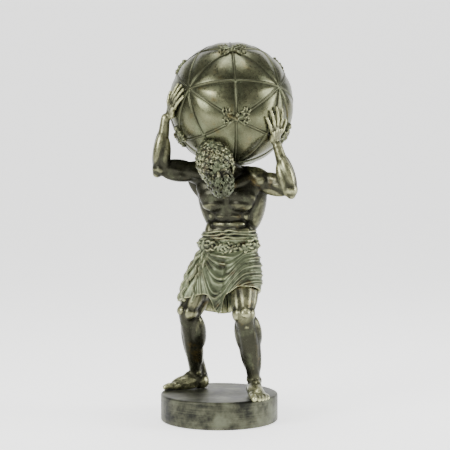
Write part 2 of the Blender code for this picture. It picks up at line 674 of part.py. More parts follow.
def crest(distance, width):
    """A fold's rounded crest, falling off on both sides of a line."""
    return np.exp(-(distance / width) ** 2)


def fold_line(x, share):
    """Height of a fold at x, seen from the front: from the knot on the right hip steeply down to
    its low point, then up and over the left thigh. share is 0 for the first full fold and 1 for
    the last that ends above the hem's tip."""
    start, low_x = -12.0 - 2.5 * share, 4.5 - 8.5 * share
    low, thigh = 96.0 - 25.0 * share, 107.5 - 10.0 * share
    falling = low + (FOLDS_TOP - low) * np.clip((low_x - x) / (low_x - start), 0, 1.4) ** 2.2
    climb = np.sin(np.pi / 2 * np.clip((x - low_x) / (20.0 - low_x), 0, 1)) ** 1.5
    rising = low + (thigh - low) * climb
    rising += 2.2 * np.sin(np.pi * np.clip((x - 15.0) / 22.0, 0, 1))
    return np.where(x < low_x, falling, rising)


def fold_relief(bearing, reach, height):
    """Height of the folds: long sweeps in front, pleats on the hip and behind."""
    degrees = np.degrees(bearing)
    x = CLOTH_AXIS.x + reach * np.cos(bearing)
    fade = np.where(degrees < 90, np.clip((24 - degrees) / 22, 0, 1), 0)
    apron = np.clip((x + 14.5 + 0.08 * (FOLDS_TOP - height)) / 1.4 + 0.5, 0, 1)
    sweeps = np.zeros_like(degrees)
    for fold in range(FOLDS):
        share = -0.3 + 2.4 * fold / (FOLDS - 1)
        line = fold_line(x, share)
        steepness = np.sqrt(1 + (fold_line(x + 0.2, share) - fold_line(x - 0.2, share)) ** 2 / 0.16)
        ridge = FOLD_RELIEF * crest((height - line) / steepness, FOLD_WIDTH)
        sweeps = np.maximum(sweeps, ridge)
    behind = np.maximum(1 - apron, 1 - fade)
    fall = np.clip((FOLDS_TOP - height) / 14, 0, 1)
    pleats = PLEAT_RELIEF * behind * fall * np.sin(bearing * PLEATS + 0.05 * height)
    return (APRON_STEP + sweeps) * apron * fade + pleats


class Cloth:
    """The loincloth's smooth fall over the body, and its folded outer face."""

    def __init__(self, body):
        self.bearings = np.linspace(-np.pi, np.pi, CLOTH_BEARINGS, endpoint=False)
        self.fall = np.linspace(0, 1, CLOTH_ROWS)
        hem = hem_height(self.bearings)
        self.height = CLOTH_TOP + (hem - CLOTH_TOP)[None] * self.fall[:, None]
        reach = pulled_taut(reach_round(body, self.bearings[None], self.height), self.bearings)
        for row in range(1, CLOTH_ROWS):
            drop = self.height[row - 1] - self.height[row]
            reach[row] = np.maximum(reach[row], reach[row - 1] - 0.25 * drop)
        self.reach = smooth_round(reach, 9) + CLOTH_STANDOFF
        self.bearing = np.broadcast_to(self.bearings[None], self.height.shape)
        self.outer = self.reach + fold_relief(self.bearing, self.reach, self.height)
        turns = [np.roll(self.outer, turn, 1) for turn in range(-3, 4)]
        self.inner = np.minimum.reduce(turns) - CLOTH_THICKNESS

    def point_at(self, degrees, height, proud=0.0):
        """A point that stands so far out from the smooth cloth."""
        bearing = (math.radians(degrees) + math.pi) % math.tau - math.pi
        column = int(round((bearing + math.pi) / math.tau * CLOTH_BEARINGS)) % CLOTH_BEARINGS
        reach = np.interp(-height, -self.height[:, column], self.reach[:, column]) + proud
        way = Vector((math.cos(bearing), math.sin(bearing), 0))
        return CLOTH_AXIS + way * reach + Vector((0, 0, height)), way

    def add_to(self, bm):
        """A closed sheet: the folded outer face, the inner face and the two rims."""
        rows = []
        for radii in (self.outer, self.inner):
            x = CLOTH_AXIS.x + radii * np.cos(self.bearing)
            y = CLOTH_AXIS.y + radii * np.sin(self.bearing)
            sheet = [[bm.verts.new(point) for point in row] for row in np.stack([x, y, self.height], 2)]
            rows.extend(sheet if not rows else sheet[::-1])
        for upper, lower in zip(rows, rows[1:] + rows[:1]):
            for index in range(CLOTH_BEARINGS):
                after = (index + 1) % CLOTH_BEARINGS
                bm.faces.new((upper[index], lower[index], lower[after], upper[after]))


def add_belt(masses, body, cloth):
    """Thin folds round the waist over a thick twist of cloth, with a knot on each hip."""
    bearings = np.linspace(0, math.tau, BAND_BEADS, endpoint=False)
    levels = np.array([[height] for height, *_ in BANDS] + [[FOLDS_TOP]])
    reaches = pulled_taut(reach_round(body, bearings[None], levels), bearings)
    hips = reaches[-1]
    for (height, radius, proud, spread), waist in zip(BANDS, reaches):
        for bearing, reach in zip(bearings, waist + (hips - waist) * spread):
            out = Vector((math.cos(bearing), math.sin(bearing), 0))
            middle = CLOTH_AXIS + out * (float(reach) + proud)
            middle.z = height - 1.2 * math.sin(bearing - 0.3) + 0.4 * math.sin(5 * bearing + height)
            masses.append((middle, out.cross(Vector((0, 0, 1))) * 3.2, out * radius * 1.3,
                           Vector((0, 0, radius * 0.8))))
    for index in range(TWIST_LUMPS):
        bearing = math.tau * index / TWIST_LUMPS
        out = Vector((math.cos(bearing), math.sin(bearing), 0))
        along = out.cross(Vector((0, 0, 1)))
        reach = np.interp(bearing, bearings, hips, period=math.tau)
        middle = CLOTH_AXIS + out * (float(reach) + 1.9)
        middle.z = TWIST_HEIGHT + 1.6 * math.sin(bearing - 0.1)
        masses.append((middle, along * 3.4, out * TWIST_RADIUS * 0.7,
                       Vector((0, 0, TWIST_RADIUS * 0.75))))
        phase = 2.4 * index
        middle = middle + (out * math.cos(phase) + Vector((0, 0, math.sin(phase)))) * 2.4
        slant = 0.95 * math.sin(1.7 * index)
        long = along * math.cos(slant) + Vector((0, 0, math.sin(slant)))
        masses.append((middle, long * 3.8, out * 1.8, out.cross(long) * 1.7))
    for degrees, height in KNOTS.values():
        for step in range(5):
            angle = math.tau * step / 5 + 0.4
            spot, out = cloth.point_at(degrees + 8 * math.cos(angle), FOLDS_TOP, 2.4)
            spot.z = height + 4.0 * math.sin(angle)
            along = Vector((-out.y, out.x, 0.5 * math.sin(3 * angle))).normalized()
            masses.append((spot, along * 3.4, out * 2.8, out.cross(along) * 2.4))


def add_hanging_end(masses, cloth):
    """The cloth's free end, falling in ragged pleats down the outside of the right thigh."""
    for pleat in range(TAIL_PLEATS):
        share = pleat / (TAIL_PLEATS - 1)
        degrees = TAIL_SPAN[0] + (TAIL_SPAN[1] - TAIL_SPAN[0]) * share
        foot = TAIL_FOOT + 5.0 * abs(share - 0.3) + 1.5 * (pleat % 2)
        beads = int((TAIL_TOP - foot) / 1.3)
        for bead in range(beads + 1):
            height = TAIL_TOP + (foot - TAIL_TOP) * bead / beads
            gather = 0.35 + 0.65 * min(1.0, (TAIL_TOP - height) / 22)
            middle_degrees = sum(TAIL_SPAN) / 2
            turn = middle_degrees + (degrees - middle_degrees) * gather
            turn += 1.6 * math.sin(0.19 * height + 2 * pleat)
            proud = 2.0 - 2.0 * bead / beads + 0.7 * math.sin(0.62 * height + 2.4 * pleat)
            spot, out = cloth.point_at(turn, min(height, FOLDS_TOP), proud)
            spot.z = height
            masses.append((spot, out * 1.7, Vector((-out.y, out.x, 0)) * 1.5,
                           Vector((0, 0, 2.0))))


def crisp_spots(skin):
    """The parts that keep their edges: middle, radius and the least share of wear."""
    spots = [(BROW.lerp(FACE_FOOT, 0.5) + Vector((0, -9, 0)), 13, 0.08),
             (CHEST + Vector((0, -14, -4)), 24, 0.5)]
    for name in ("right", "left"):
        fingers = skin.above(wrist_of(skin, name) + FINGERS[name].normalized() * 18, 0)
        spots.append((fingers, 17, 0.08))
        spots.append((ANKLE[name] + TOES[name] * 21 - Vector((0, 0, 9)), 11, 0.08))
    return spots


def soft_body(masses, crisp):
    """The naked body as one skin, worn smooth except at the crisp spots."""
    body = helper(linked("naked body", mesh_of(masses), cutter_collection()))
    fused(body, BODY_VOXEL)
    soften(body.data, BODY_SOFTENING, crisp)
    return body


def fused(obj, voxel):
    remesh = obj.modifiers.new("one skin", "REMESH")
    remesh.mode = "VOXEL"
    remesh.voxel_size = voxel
    return baked(obj)


def soften(mesh, rounds, crisp):
    """Moves each point towards its neighbours' mean, by less near a crisp spot."""
    points = np.array([vert.co for vert in mesh.vertices])
    ends = np.array([edge.vertices[:] for edge in mesh.edges])
    count = np.bincount(ends.ravel(), minlength=len(points))[:, None]
    weight = np.ones(len(points))
    for spot, radius, least in crisp:
        away = np.linalg.norm(points - np.array(spot), axis=1) / radius
        weight = np.minimum(weight, np.clip(1.6 * away - 0.9, least, 1))
    for _ in range(rounds):
        total = np.zeros_like(points)
        np.add.at(total, ends[:, 0], points[ends[:, 1]])
        np.add.at(total, ends[:, 1], points[ends[:, 0]])
        points += 0.5 * weight[:, None] * (total / count - points)
    mesh.vertices.foreach_set("co", points.ravel())
    mesh.update()


def figure_mesh():
    """The whole figure in figure units: the softened body, the cloth and the locks, still apart."""
    masses, skin = [], GlobeSkin()
    add_trunk(masses)
    for name in ("right", "left"):
        add_leg(masses, name)
    lower_body = list(masses)
    for name in ("right", "left"):
        add_arm(masses, skin, name)
    add_neck_and_head(masses)
    body = soft_body(masses, crisp_spots(skin))
    dress = []
    cloth = Cloth(lower_body)
    add_belt(dress, lower_body, cloth)
    add_hanging_end(dress, cloth)
    add_hair(dress)
    bm = bmesh.new()
    bm.from_mesh(mesh_of(dress))
    bm.from_mesh(body.data)
    bpy.data.objects.remove(body, do_unlink=True)
    cloth.add_to(bm)
    return bm


def build_figure(collection, material):
    bm = figure_mesh()
    to_metres = Matrix.Translation(on_plinth(Vector((0, 0, 0)))) @ Matrix.Scale(UNIT, 4)
    bmesh.ops.transform(bm, matrix=to_metres, verts=bm.verts[:])
    figure = object_from(bm, "atlas_figure", collection, material)
    fused(figure, VOXEL)
    soften(figure.data, FIGURE_SOFTENING, [])
    largest_piece(figure.data)
    trim(figure, globe_cutter())
    trim(figure, plinth_cutter())
    without_slivers(baked(figure).data)
    decimate_to(figure, FIGURE_TRIANGLES)
    figure.data.materials.clear()
    figure.data.materials.append(material)
    return figure


def largest_piece(mesh):
    """Keeps the largest connected skin of a mesh, so no stray piece or sealed pocket is left."""
    bm = bmesh.new()
    bm.from_mesh(mesh)
    waiting, pieces = set(bm.verts), []
    while waiting:
        piece, edge = set(), [waiting.pop()]
        while edge:
            vert = edge.pop()
            piece.add(vert)
            for link in vert.link_edges:
                other = link.other_vert(vert)
                if other in waiting:
                    waiting.remove(other)
                    edge.append(other)
        pieces.append(piece)
    pieces.sort(key=len)
    for piece in pieces[:-1]:
        bmesh.ops.delete(bm, geom=list(piece), context="VERTS")
    bm.to_mesh(mesh)
    bm.free()


def without_slivers(mesh):
    """Closes up the hair-thin faces that a cut leaves, so that the facets stay whole."""
    bm = bmesh.new()
    bm.from_mesh(mesh)
    bmesh.ops.dissolve_degenerate(bm, dist=SLIVER, edges=bm.edges[:])
    bmesh.ops.triangulate(bm, faces=bm.faces[:])
    bm.to_mesh(mesh)
    bm.free()


def trim(figure, cutter):
    """Cuts the figure clear of the piece that it touches."""
    cut = figure.modifiers.new(cutter.name, "BOOLEAN")
    cut.operation = "DIFFERENCE"
    cut.solver = "EXACT"
    cut.object = cutter


def globe_cutter():
    bm = bmesh.new()
    bmesh.ops.create_icosphere(bm, subdivisions=5, radius=globe_radius() + PANEL_CROWN + TOUCH_GAP)
    cutter = helper(object_from(bm, "globe seat", cutter_collection()))
    cutter.location = globe_centre()
    return cutter


def plinth_cutter():
    bm = bmesh.new()
    bmesh.ops.create_cube(bm, size=1.0)
    cutter = helper(object_from(bm, "under the feet", cutter_collection()))
    depth = PLINTH_HEIGHT
    cutter.scale = (PLINTH_DIAMETER * 2, PLINTH_DIAMETER * 2, depth)
    cutter.location = (0, 0, PLINTH_HEIGHT + TOUCH_GAP - depth / 2)
    return cutter


def main():
    clear_scene()
    figurine = new_collection("atlas figurine")
    cutters = new_collection("figurine cutters")
    cutters.hide_render = True
    build_plinth(figurine, bronze("worn grey bronze", (0.16, 0.16, 0.13), 0.45))
    build_globe(figurine, bronze("olive bronze", (0.15, 0.14, 0.09), 0.35))
    build_figure(figurine, bronze("dark bronze", (0.11, 0.10, 0.07), 0.40))


main()
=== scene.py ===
"""Atlas figurine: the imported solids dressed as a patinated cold-cast bronze ornament."""
from math import ceil, cos, pi, radians, sin, sqrt, tau

import bmesh
import bpy
import numpy as np
from bpy.props import FloatProperty, FloatVectorProperty, IntProperty, PointerProperty
from mathutils import Matrix, Vector


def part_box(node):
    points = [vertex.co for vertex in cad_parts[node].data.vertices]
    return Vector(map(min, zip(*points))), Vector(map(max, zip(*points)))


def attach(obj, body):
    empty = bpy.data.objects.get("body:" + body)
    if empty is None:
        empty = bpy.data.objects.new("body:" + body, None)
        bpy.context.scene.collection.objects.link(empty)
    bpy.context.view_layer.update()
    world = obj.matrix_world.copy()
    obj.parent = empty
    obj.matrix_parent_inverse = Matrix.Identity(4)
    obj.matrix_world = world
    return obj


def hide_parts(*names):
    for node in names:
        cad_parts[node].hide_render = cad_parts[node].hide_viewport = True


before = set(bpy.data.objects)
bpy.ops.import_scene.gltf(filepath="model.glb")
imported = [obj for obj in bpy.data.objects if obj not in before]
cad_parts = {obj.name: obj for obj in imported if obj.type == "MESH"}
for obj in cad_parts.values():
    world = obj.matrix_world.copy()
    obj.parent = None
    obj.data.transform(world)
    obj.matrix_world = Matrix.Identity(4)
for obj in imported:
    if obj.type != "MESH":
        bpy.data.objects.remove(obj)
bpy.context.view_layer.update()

bl_info = {
    "name": "Atlas figurine",
    "version": (1, 0, 0),
    "blender": (4, 5, 0),
    "location": "3D View > Sidebar > Figurine",
    "description": "Models a cast figurine of a man who carries a netted globe",
    "category": "Add Mesh",
}

MM = 0.001


def linear(code):
    """A colour written as sRGB hex, as the linear values that a shader takes."""
    values = [int(code[at:at + 2], 16) / 255 for at in (1, 3, 5)]
    return [v / 12.92 if v <= 0.04045 else ((v + 0.055) / 1.055) ** 2.4 for v in values]


def pair(right, left):
    return {"right": Vector(right), "left": Vector(left)}


# The pose, in figure units above the plinth's top: one unit is 1/218 of the man's stature.

UNITS_TALL = 218
ORIGIN, UP, RIGHTWARD = Vector((0, 0, 0)), Vector((0, 0, 1)), Vector((1, 0, 0))
SIDES = ("right", "left")
GLOBE_SEAT = Vector((9.3, 12.5, 179))
GLOBE_TILT_BACK = radians(20.5)
GLOBE_TURN = radians(-130.5)
GLOBE_ROLL = radians(-3)
PELVIS = Vector((7.7, 3, 108.3))
WAIST = Vector((10, 4.5, 127))
CHEST = Vector((9.6, 3.5, 150))
NECK_BASE = Vector((7.6, -2, 174.5))
SKULL = Vector((-3.2, -26, 183))
CHIN = Vector((3.6, -32.5, 165))
HIP = pair((-4.6, 6, 107), (19, -2, 107))
KNEE = pair((-25, 0, 63), (19.4, -28, 63.6))
ANKLE = pair((-19.4, 19, 11.6), (27.6, -17.5, 11.2))
SHOULDER = pair((-12.6, 5.5, 174), (25.8, -5.5, 170.5))
ELBOW = pair((-46.9, -5, 177.2), (55.4, -20, 161.2))
KNEE_FRONT = pair((-0.8, -0.6, 0), (0.1, -1, 0))
TOES = pair((-0.97, -0.22, 0), (0.16, -0.98, 0))
OUTER = pair((-1, 0, 0), (1, 0, 0))
CHEST_FRONT = Vector((-0.29, -0.95, -0.08))
PELVIS_FRONT = Vector((-0.17, -0.98, 0))
# How far out the back muscle runs, at the waist and under the arm: his left side, his right side
FLANK = {1: (16, 26.2), -1: (13.8, 23.8)}
# How far to the side the inner calf muscle sits
INNER_CALF = {"right": -5, "left": -3.4}

# Each hand, seen from the globe's centre
PALM = pair((-0.892, -0.445, -0.077), (0.658, -0.6, -0.456))
FINGERS = pair((0.44, -0.43, 0.78), (-0.08, -0.38, 0.92))
FINGER_SPREAD = {"right": radians(8), "left": radians(12)}
THUMB_SIDE = {"right": 1, "left": -1}
FINGER_LENGTHS = (16, 17.5, 16.5, 13.5)
PHALANX_SHARES = (0.46, 0.3, 0.24)
FINGER_RADIUS = 1.55
PALM_LENGTH, PALM_WIDTH, PALM_THICKNESS = 11, 10.6, 4.4

# The loincloth round its upright axis; bearings in degrees from +X, seen from above
CLOTH_AXIS = Vector((6.5, -2, 0))
CLOTH_TOP, FOLDS_TOP, CLOTH_THICKNESS = 122, 113, 1.3
HEM = ((-180, 74), (-155, 79), (-140, 80), (-131, 78.5), (-122, 71), (-113, 65.5), (-106, 64.5),
       (-101, 73), (-96, 79.5), (-84, 83), (-72, 87.5), (-50, 86.5), (-30, 81.5), (-5, 74),
       (30, 68), (80, 62), (110, 61), (140, 63), (165, 67))
CLOTH_STANDOFF, APRON_STEP = 1.1, 1.1
BANDS = ((127.6, 1.5, -0.2, 0.15), (125.2, 1.7, 0.6, 0.3), (122.6, 1.9, 1.3, 0.6))
TWIST_HEIGHT, TWIST_RADIUS, TWIST_LUMPS = 116.8, 4, 170
KNOTS = {"right": (-166, 117), "left": (-22, 118.5)}
TAIL_SPAN, TAIL_PLEATS, TAIL_TOP, TAIL_FOOT = (-163, -203), 5, 119, 72.5

# Hair and beard: the masses' half lengths down, forward and to the side
SCALP = (18, 13.6, 13.2)
BEARD = (12.4, 9.6, 9.4)
JAW = Vector((0.9, -35, 168))
BROW, FACE_FOOT = Vector((-0.6, -31.5, 178)), Vector((2.6, -32, 163))
SCALP_CURLS, SCALP_CURL_RADIUS, BEARD_CURLS, BEARD_CURL_RADIUS = 190, 2.5, 110, 2.1

# Lengths in metres, and how fine the meshes are
TOUCH_GAP, GROOVE_DEPTH, CROWN_REACH = 0.0003, 0.0003, 0.011
PLINTH_SIDES, PLINTH_RINGS, PLINTH_FIRST_RING, PLINTH_RING = 192, 6, 0.0035, 0.006
CORD_STEPS = (0.1, 0.1, 0.1, 0.1, 0.1, 0.12, 0.14, 0.2, 0.3, 0.5)
FACE_BUDGET, QUICK_COARSENING = 190000, 1.8

# Each piece's coat: its name, base colour, shares of bloom and of rubbing, roughness, metallic
COATS = {
    "globe_skin": ("rubbed cold-cast bronze", "globe", 0.35, 0.75, 0.28, 0.85),
    "globe_bows": ("rubbed cold-cast bronze, knotted ribbon", "globe", 0.5, 0.9, 0.34, 0.8),
    "man_body": ("dark-washed cold-cast bronze", "bronze", 0.25, 0.75, 0.3, 0.8),
    "man_loincloth": ("green-washed cold-cast bronze, cloth", "bronze", 0.9, 0.7, 0.4, 0.65),
    "man_belt": ("green-washed cold-cast bronze, twisted cloth", "bronze", 0.8, 0.75, 0.38, 0.7),
    "man_hair": ("green-washed cold-cast bronze, curls", "bronze", 0.7, 0.8, 0.34, 0.75),
}
# Rounds of smoothing that each piece's fine and broad relief is measured against
RELIEF_ROUNDS = {"plinth_drum": (2, 10), "globe_bows": (3, 12), "man_body": (6, 44),
    "man_loincloth": (4, 24), "man_belt": (7, 28), "man_hair": (8, 30)}

# The stage: each softbox's place, size in metres and power in watts, then the camera
SOFTBOXES = (((-0.8, -0.8, 0.58), 0.45, 15), ((1.05, -0.16, 0.42), 0.5, 14),
    ((0, 0, 1.2), 0.6, 10))
CAMERA_PLACE, CAMERA_DIP, CAMERA_LENS = (0.004528, -1.1, 0.216256), 0.056, 111.7
SWEEP_SIZE, SWEEP_HEIGHT, SWEEP_BEND = 6, 3, 1.5


def a_length(name, description, default):
    return FloatProperty(name=name, description=description, default=default, unit="LENGTH")


def a_colour(name, description, code):
    return FloatVectorProperty(name=name, description=description, default=linear(code),
        subtype="COLOR")


class FigurineSizes(bpy.types.PropertyGroup):
    """Sizes of the ornament and fineness of its meshes"""

    plinth_edge: a_length("Plinth edge", "Radius of the plinth's worn edges", 0.0016)
    globe_diameter: a_length("Globe diameter", "Size of the globe's skin", 0.0976)
    cord_width: a_length("Cord width", "Width of the net's raised cords", 0.0015)
    cord_height: a_length("Cord height", "How far a cord stands out", 0.0008)
    panel_crown: a_length("Panel crown", "Bulge of the skin between cords", 0.0010)
    bow_span: a_length("Bow span", "Width of a knotted bow on the net", 0.024)
    stature: a_length("Stature", "Standing height the man is a share of", 0.218)
    skin_grain: a_length("Skin grain", "Fineness of the body's mesh", 0.00052)
    curl_grain: a_length("Curl grain", "Fineness of hair, belt and bows", 0.00038)
    folds: IntProperty(name="Folds", description="Folds that sweep across the loincloth",
        default=13)


class FigurineColours(bpy.types.PropertyGroup):
    """Colours of the bronze coat, as linear values"""

    # The hollows' colour is also the painted shade on chest, throat, upper arm, beard and face
    hollow: a_colour("Hollows", "Dark wash left in the hollows", "#14130d")
    globe: a_colour("Globe", "The globe's lighter olive", "#4c4e39")
    bronze: a_colour("Bronze", "The coat's olive brown", "#2d2d21")
    # The rubbed colour is also the painted highlight on his left kneecap and thigh
    rubbed: a_colour("Rubbed bronze", "Where it is worn bright", "#b1b187")
    verdigris: a_colour("Verdigris", "Green-grey bloom", "#767f61")
    russet: a_colour("Russet", "Warm brown patches", "#4f421d")
    floor: a_colour("Floor", "The stage's pale sweep", "#f2f2f0")


def sizes():
    return bpy.context.scene.figurine_sizes


def colours():
    return bpy.context.scene.figurine_colours


def unit():
    return sizes().stature / UNITS_TALL


def plinth_top():
    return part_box("plinth")[1].z


def in_metres(point):
    return point * unit() + Vector((0, 0, plinth_top() + TOUCH_GAP))


def globe_radius():
    return sizes().globe_diameter / 2


def globe_centre():
    return in_metres(GLOBE_SEAT) + Vector((0, 0, globe_radius()))


def globe_placing():
    turn = (Matrix.Rotation(GLOBE_ROLL, 4, "Y") @ Matrix.Rotation(-GLOBE_TILT_BACK, 4, "X")
        @ Matrix.Rotation(GLOBE_TURN, 4, "Z"))
    return Matrix.Translation(globe_centre()) @ turn


# Small helpers of the bench

def deselect():
    if bpy.context.object and bpy.context.object.mode != "OBJECT":
        bpy.ops.object.mode_set(mode="OBJECT")
    bpy.ops.object.select_all(action="DESELECT")


def take(obj):
    deselect()
    obj.select_set(True)
    bpy.context.view_layer.objects.active = obj
    return obj


def fresh(name):
    """Names the primitive that was just added."""
    obj = bpy.context.object
    obj.name = obj.data.name = name
    return obj


def put(name, mesh):
    obj = bpy.data.objects.new(name, mesh)
    bpy.context.scene.collection.objects.link(obj)
    return take(obj)


def edit(obj):
    """Opens the piece in edit mode with nothing selected."""
    take(obj)
    bpy.ops.object.mode_set(mode="EDIT")
    bpy.ops.mesh.select_all(action="DESELECT")
    return bmesh.from_edit_mesh(obj.data)


def apply_modifier(obj, kind, **settings):
    take(obj)
    modifier = obj.modifiers.new(kind.lower(), kind)
    for name, value in settings.items():
        setattr(modifier, name, value)
    bpy.ops.object.modifier_apply(modifier=modifier.name)


def settle(obj):
    """Puts the object at the origin, unturned, with its place in its mesh."""
    take(obj)
    bpy.ops.object.transform_apply(location=True, rotation=True, scale=True)
    return obj


def smooth(obj):
    take(obj)
    bpy.ops.object.shade_smooth()


def dress(obj, material, slot, *nodes):
    obj.data.materials.clear()
    obj.data.materials.append(material)
    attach(obj, "root")
    if nodes:
        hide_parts(*nodes)


def points_of(mesh):
    points = np.empty(len(mesh.vertices) * 3)
    mesh.vertices.foreach_get("co", points)
    return points.reshape(-1, 3)


def set_points(mesh, points):
    mesh.vertices.foreach_set("co", np.ascontiguousarray(points).reshape(-1))
    mesh.update()


def scale_up(mesh):
    """Takes the mesh from figure units to metres."""
    set_points(mesh, points_of(mesh) * unit() + np.array(in_metres(ORIGIN)))


def set_attribute(mesh, name, values):
    layer = mesh.attributes.new(name, "FLOAT", "POINT")
    layer.data.foreach_set("value", np.ascontiguousarray(values, dtype=np.float32))


def neighbour_mean(values, ends, count):
    """Each point's mean over the points that an edge joins it to."""
    out = np.empty_like(values)
    for axis in range(values.shape[1]):
        total = np.bincount(ends[:, 0], values[ends[:, 1], axis], len(values))
        total += np.bincount(ends[:, 1], values[ends[:, 0], axis], len(values))
        out[:, axis] = total / count
    return out


def joins_of(mesh, size):
    """The two ends of each edge, and how many edges meet at each point."""
    ends = np.empty(len(mesh.edges) * 2, dtype=np.int64)
    mesh.edges.foreach_get("vertices", ends)
    return ends.reshape(-1, 2), np.maximum(np.bincount(ends, minlength=size), 1)


def mark_relief(mesh, fine_rounds, broad_rounds):
    """Writes how far each point stands out of, or lies in, its surroundings, in millimetres."""
    points = points_of(mesh)
    ends, count = joins_of(mesh, len(points))
    normals = np.empty(len(points) * 3)
    mesh.vertex_normals.foreach_get("vector", normals)
    normals = normals.reshape(-1, 3)
    level = points.copy()
    for rounds in range(broad_rounds):
        if rounds == fine_rounds:
            fine = ((points - level) * normals).sum(1) / MM
        level = neighbour_mean(level, ends, count)
    broad = ((points - level) * normals).sum(1) / MM
    for name, height in (("fine_relief", fine), ("broad_relief", broad)):
        height = height[:, None]
        for _ in range(2):
            height = (height + neighbour_mean(height, ends, count)) / 2
        set_attribute(mesh, name, height[:, 0])


# Materials

def node(tree, kind, inputs=None, **settings):
    """Adds a node with its settings and with values or links on its inputs. A link comes from a
    socket, or from the first output of a node."""
    made = tree.nodes.new(kind)
    for name, value in settings.items():
        setattr(made, name, value)
    for socket, value in (inputs or {}).items():
        if isinstance(value, bpy.types.Node):
            value = next(output for output in value.outputs if output.enabled)
        if isinstance(value, bpy.types.NodeSocket):
            tree.links.new(value, made.inputs[socket])
        else:
            made.inputs[socket].default_value = value
    return made


def lit(material, coat, metallic, gloss, height, strength, depth):
    """Gives the coat its bump and its shader."""
    tree = material.node_tree
    bump = node(tree, "ShaderNodeBump", {"Height": height, "Strength": strength,
        "Distance": depth})
    shader = node(tree, "ShaderNodeBsdfPrincipled", {"Base Color": coat, "Metallic": metallic,
        "Roughness": gloss, "Normal": bump})
    node(tree, "ShaderNodeOutputMaterial", {"Surface": shader})
    return material


def bare_material(name):
    material = bpy.data.materials.new(name)
    material.use_nodes = True
    material.node_tree.nodes.clear()
    return material


def patinated_bronze(name, bronze, bloom_share, rubbed_share, roughness, metallic):
    """Cold-cast bronze: resin filled with bronze powder, washed dark, then rubbed by hand.

    The eye sees a dark olive metal with black hollows, a green-grey or russet bloom in patches
    and bright golden metal wherever the rag could reach. The rubbing mark also paints highlights
    on given spots, and below zero it paints shade in the hollows' dark colour.
    """
    material = bare_material(name)
    tree = material.node_tree
    place = node(tree, "ShaderNodeTexCoord").outputs["Object"]
    # Patches of patina about 11 mm across, a finer cloud of 2.5 mm, cast grain of about 0.35 mm
    # drawn coarse enough to show, and fields of 24 mm where more of the dark wash was wiped off
    patches, cloud, grain, fields = (
        node(tree, "ShaderNodeTexNoise", {"Vector": place, "Scale": 1 / (width * MM),
                                          "Detail": detail, "Roughness": rough})
        for width, detail, rough in ((11, 4, 0.62), (2.5, 3, 0.6), (0.7, 2, 0.5), (24, 2, 0.5)))
    fine, broad, rub_and_light_mark = (node(tree, "ShaderNodeAttribute", attribute_name=layer).outputs["Fac"]
                          for layer in ("fine_relief", "broad_relief", "rubbing_and_painted_light"))
    # What each share is read from, and its value at the low and the high end of that
    ranges = {
        "russet": (patches, 0.42, 0.30, 0, 0.65),
        "bloom": (patches, 0.62 - 0.3 * bloom_share, 0.80 - 0.3 * bloom_share, 0,
                  0.85 * bloom_share),
        "wiped": (fields, 0.36, 0.60, 0.42, 0),
        "fine hollow": (fine, -0.16, -0.01, 1, 0), "broad hollow": (broad, -1, 0, 0.7, 0),
        # Below zero the touch mark darkens toward the hollows: partly dark wash, partly painted
        # shade
        "wash_and_painted_shade": (rub_and_light_mark, -2, 0, 0.9, 0),
        "fine ridge": (fine, 0.06, 0.22, 0, 0.9), "broad ridge": (broad, 0.2, 2, 0, 0.22),
        "patchy": (cloud, 0.30, 0.62, 0.45 * rubbed_share, rubbed_share),
        "gloss": (cloud, 0.3, 0.7, roughness - 0.06, roughness + 0.10)}
    share = {}
    for key, (value, low, high, first, last) in ranges.items():
        share[key] = node(tree, "ShaderNodeMapRange", {"Value": value, "From Min": low,
            "From Max": high, "To Min": first, "To Max": last})
    # Hollows keep the dark wash; ridges and what hands touch are rubbed bright. The touch mark
    # also carries painted highlights, and below zero painted shade that darkens toward the
    # hollows' colour
    hollows = node(tree, "ShaderNodeMath", {0: share["fine hollow"], 1: share["broad hollow"]},
        operation="MAXIMUM")
    dark_wash_and_painted_shade = node(tree, "ShaderNodeMath", {0: share["wiped"], 1: share["wash_and_painted_shade"]},
        operation="MAXIMUM")
    depth = node(tree, "ShaderNodeMath", {0: hollows, 1: dark_wash_and_painted_shade}, operation="MAXIMUM")
    ridge = node(tree, "ShaderNodeMath", {0: share["fine ridge"], 1: share["broad ridge"]},
        operation="ADD")
    reach = node(tree, "ShaderNodeMath", {0: ridge, 1: rub_and_light_mark}, operation="ADD")
    rub_and_painted_highlight = node(tree, "ShaderNodeMath", {0: reach, 1: share["patchy"]}, operation="MULTIPLY",
        use_clamp=True)
    coat = (*bronze, 1)
    for cover, colour in ((share["russet"], colours().russet),
            (share["bloom"], colours().verdigris), (depth, colours().hollow),
            (rub_and_painted_highlight, colours().rubbed)):
        coat = node(tree, "ShaderNodeMix", {"Factor": cover, "A": coat, "B": (*colour, 1)},
            data_type="RGBA")
    dull = node(tree, "ShaderNodeMath", {0: hollows, 1: 0.25, 2: share["gloss"]},
        operation="MULTIPLY_ADD")
    return lit(material, coat, metallic, dull, grain, 0.18, 0.12 * MM)


# Body: rounded masses laid along its bones

def unit_ball(detail):
    bm = bmesh.new()
    bmesh.ops.create_icosphere(bm, subdivisions=detail, radius=1.0)
    points = np.array([vert.co for vert in bm.verts])
    faces = np.array([[vert.index for vert in face.verts] for face in bm.faces])
    bm.free()
    return points, faces


def mesh_of(masses, detail=3):
    """One mesh of stretched balls, each given by its middle and its three half lengths."""
    points, faces = unit_ball(detail)
    all_points, all_faces = [], []
    for index, (middle, long, wide, thick) in enumerate(masses):
        if long.cross(wide).dot(thick) < 0:
            wide = -wide
        all_points.append(points @ np.array((long, wide, thick)) + np.array(middle))
        all_faces.append(faces + index * len(points))
    mesh = bpy.data.meshes.new("rounded masses")
    mesh.from_pydata(np.concatenate(all_points).tolist(), [], np.concatenate(all_faces).tolist())
    return mesh


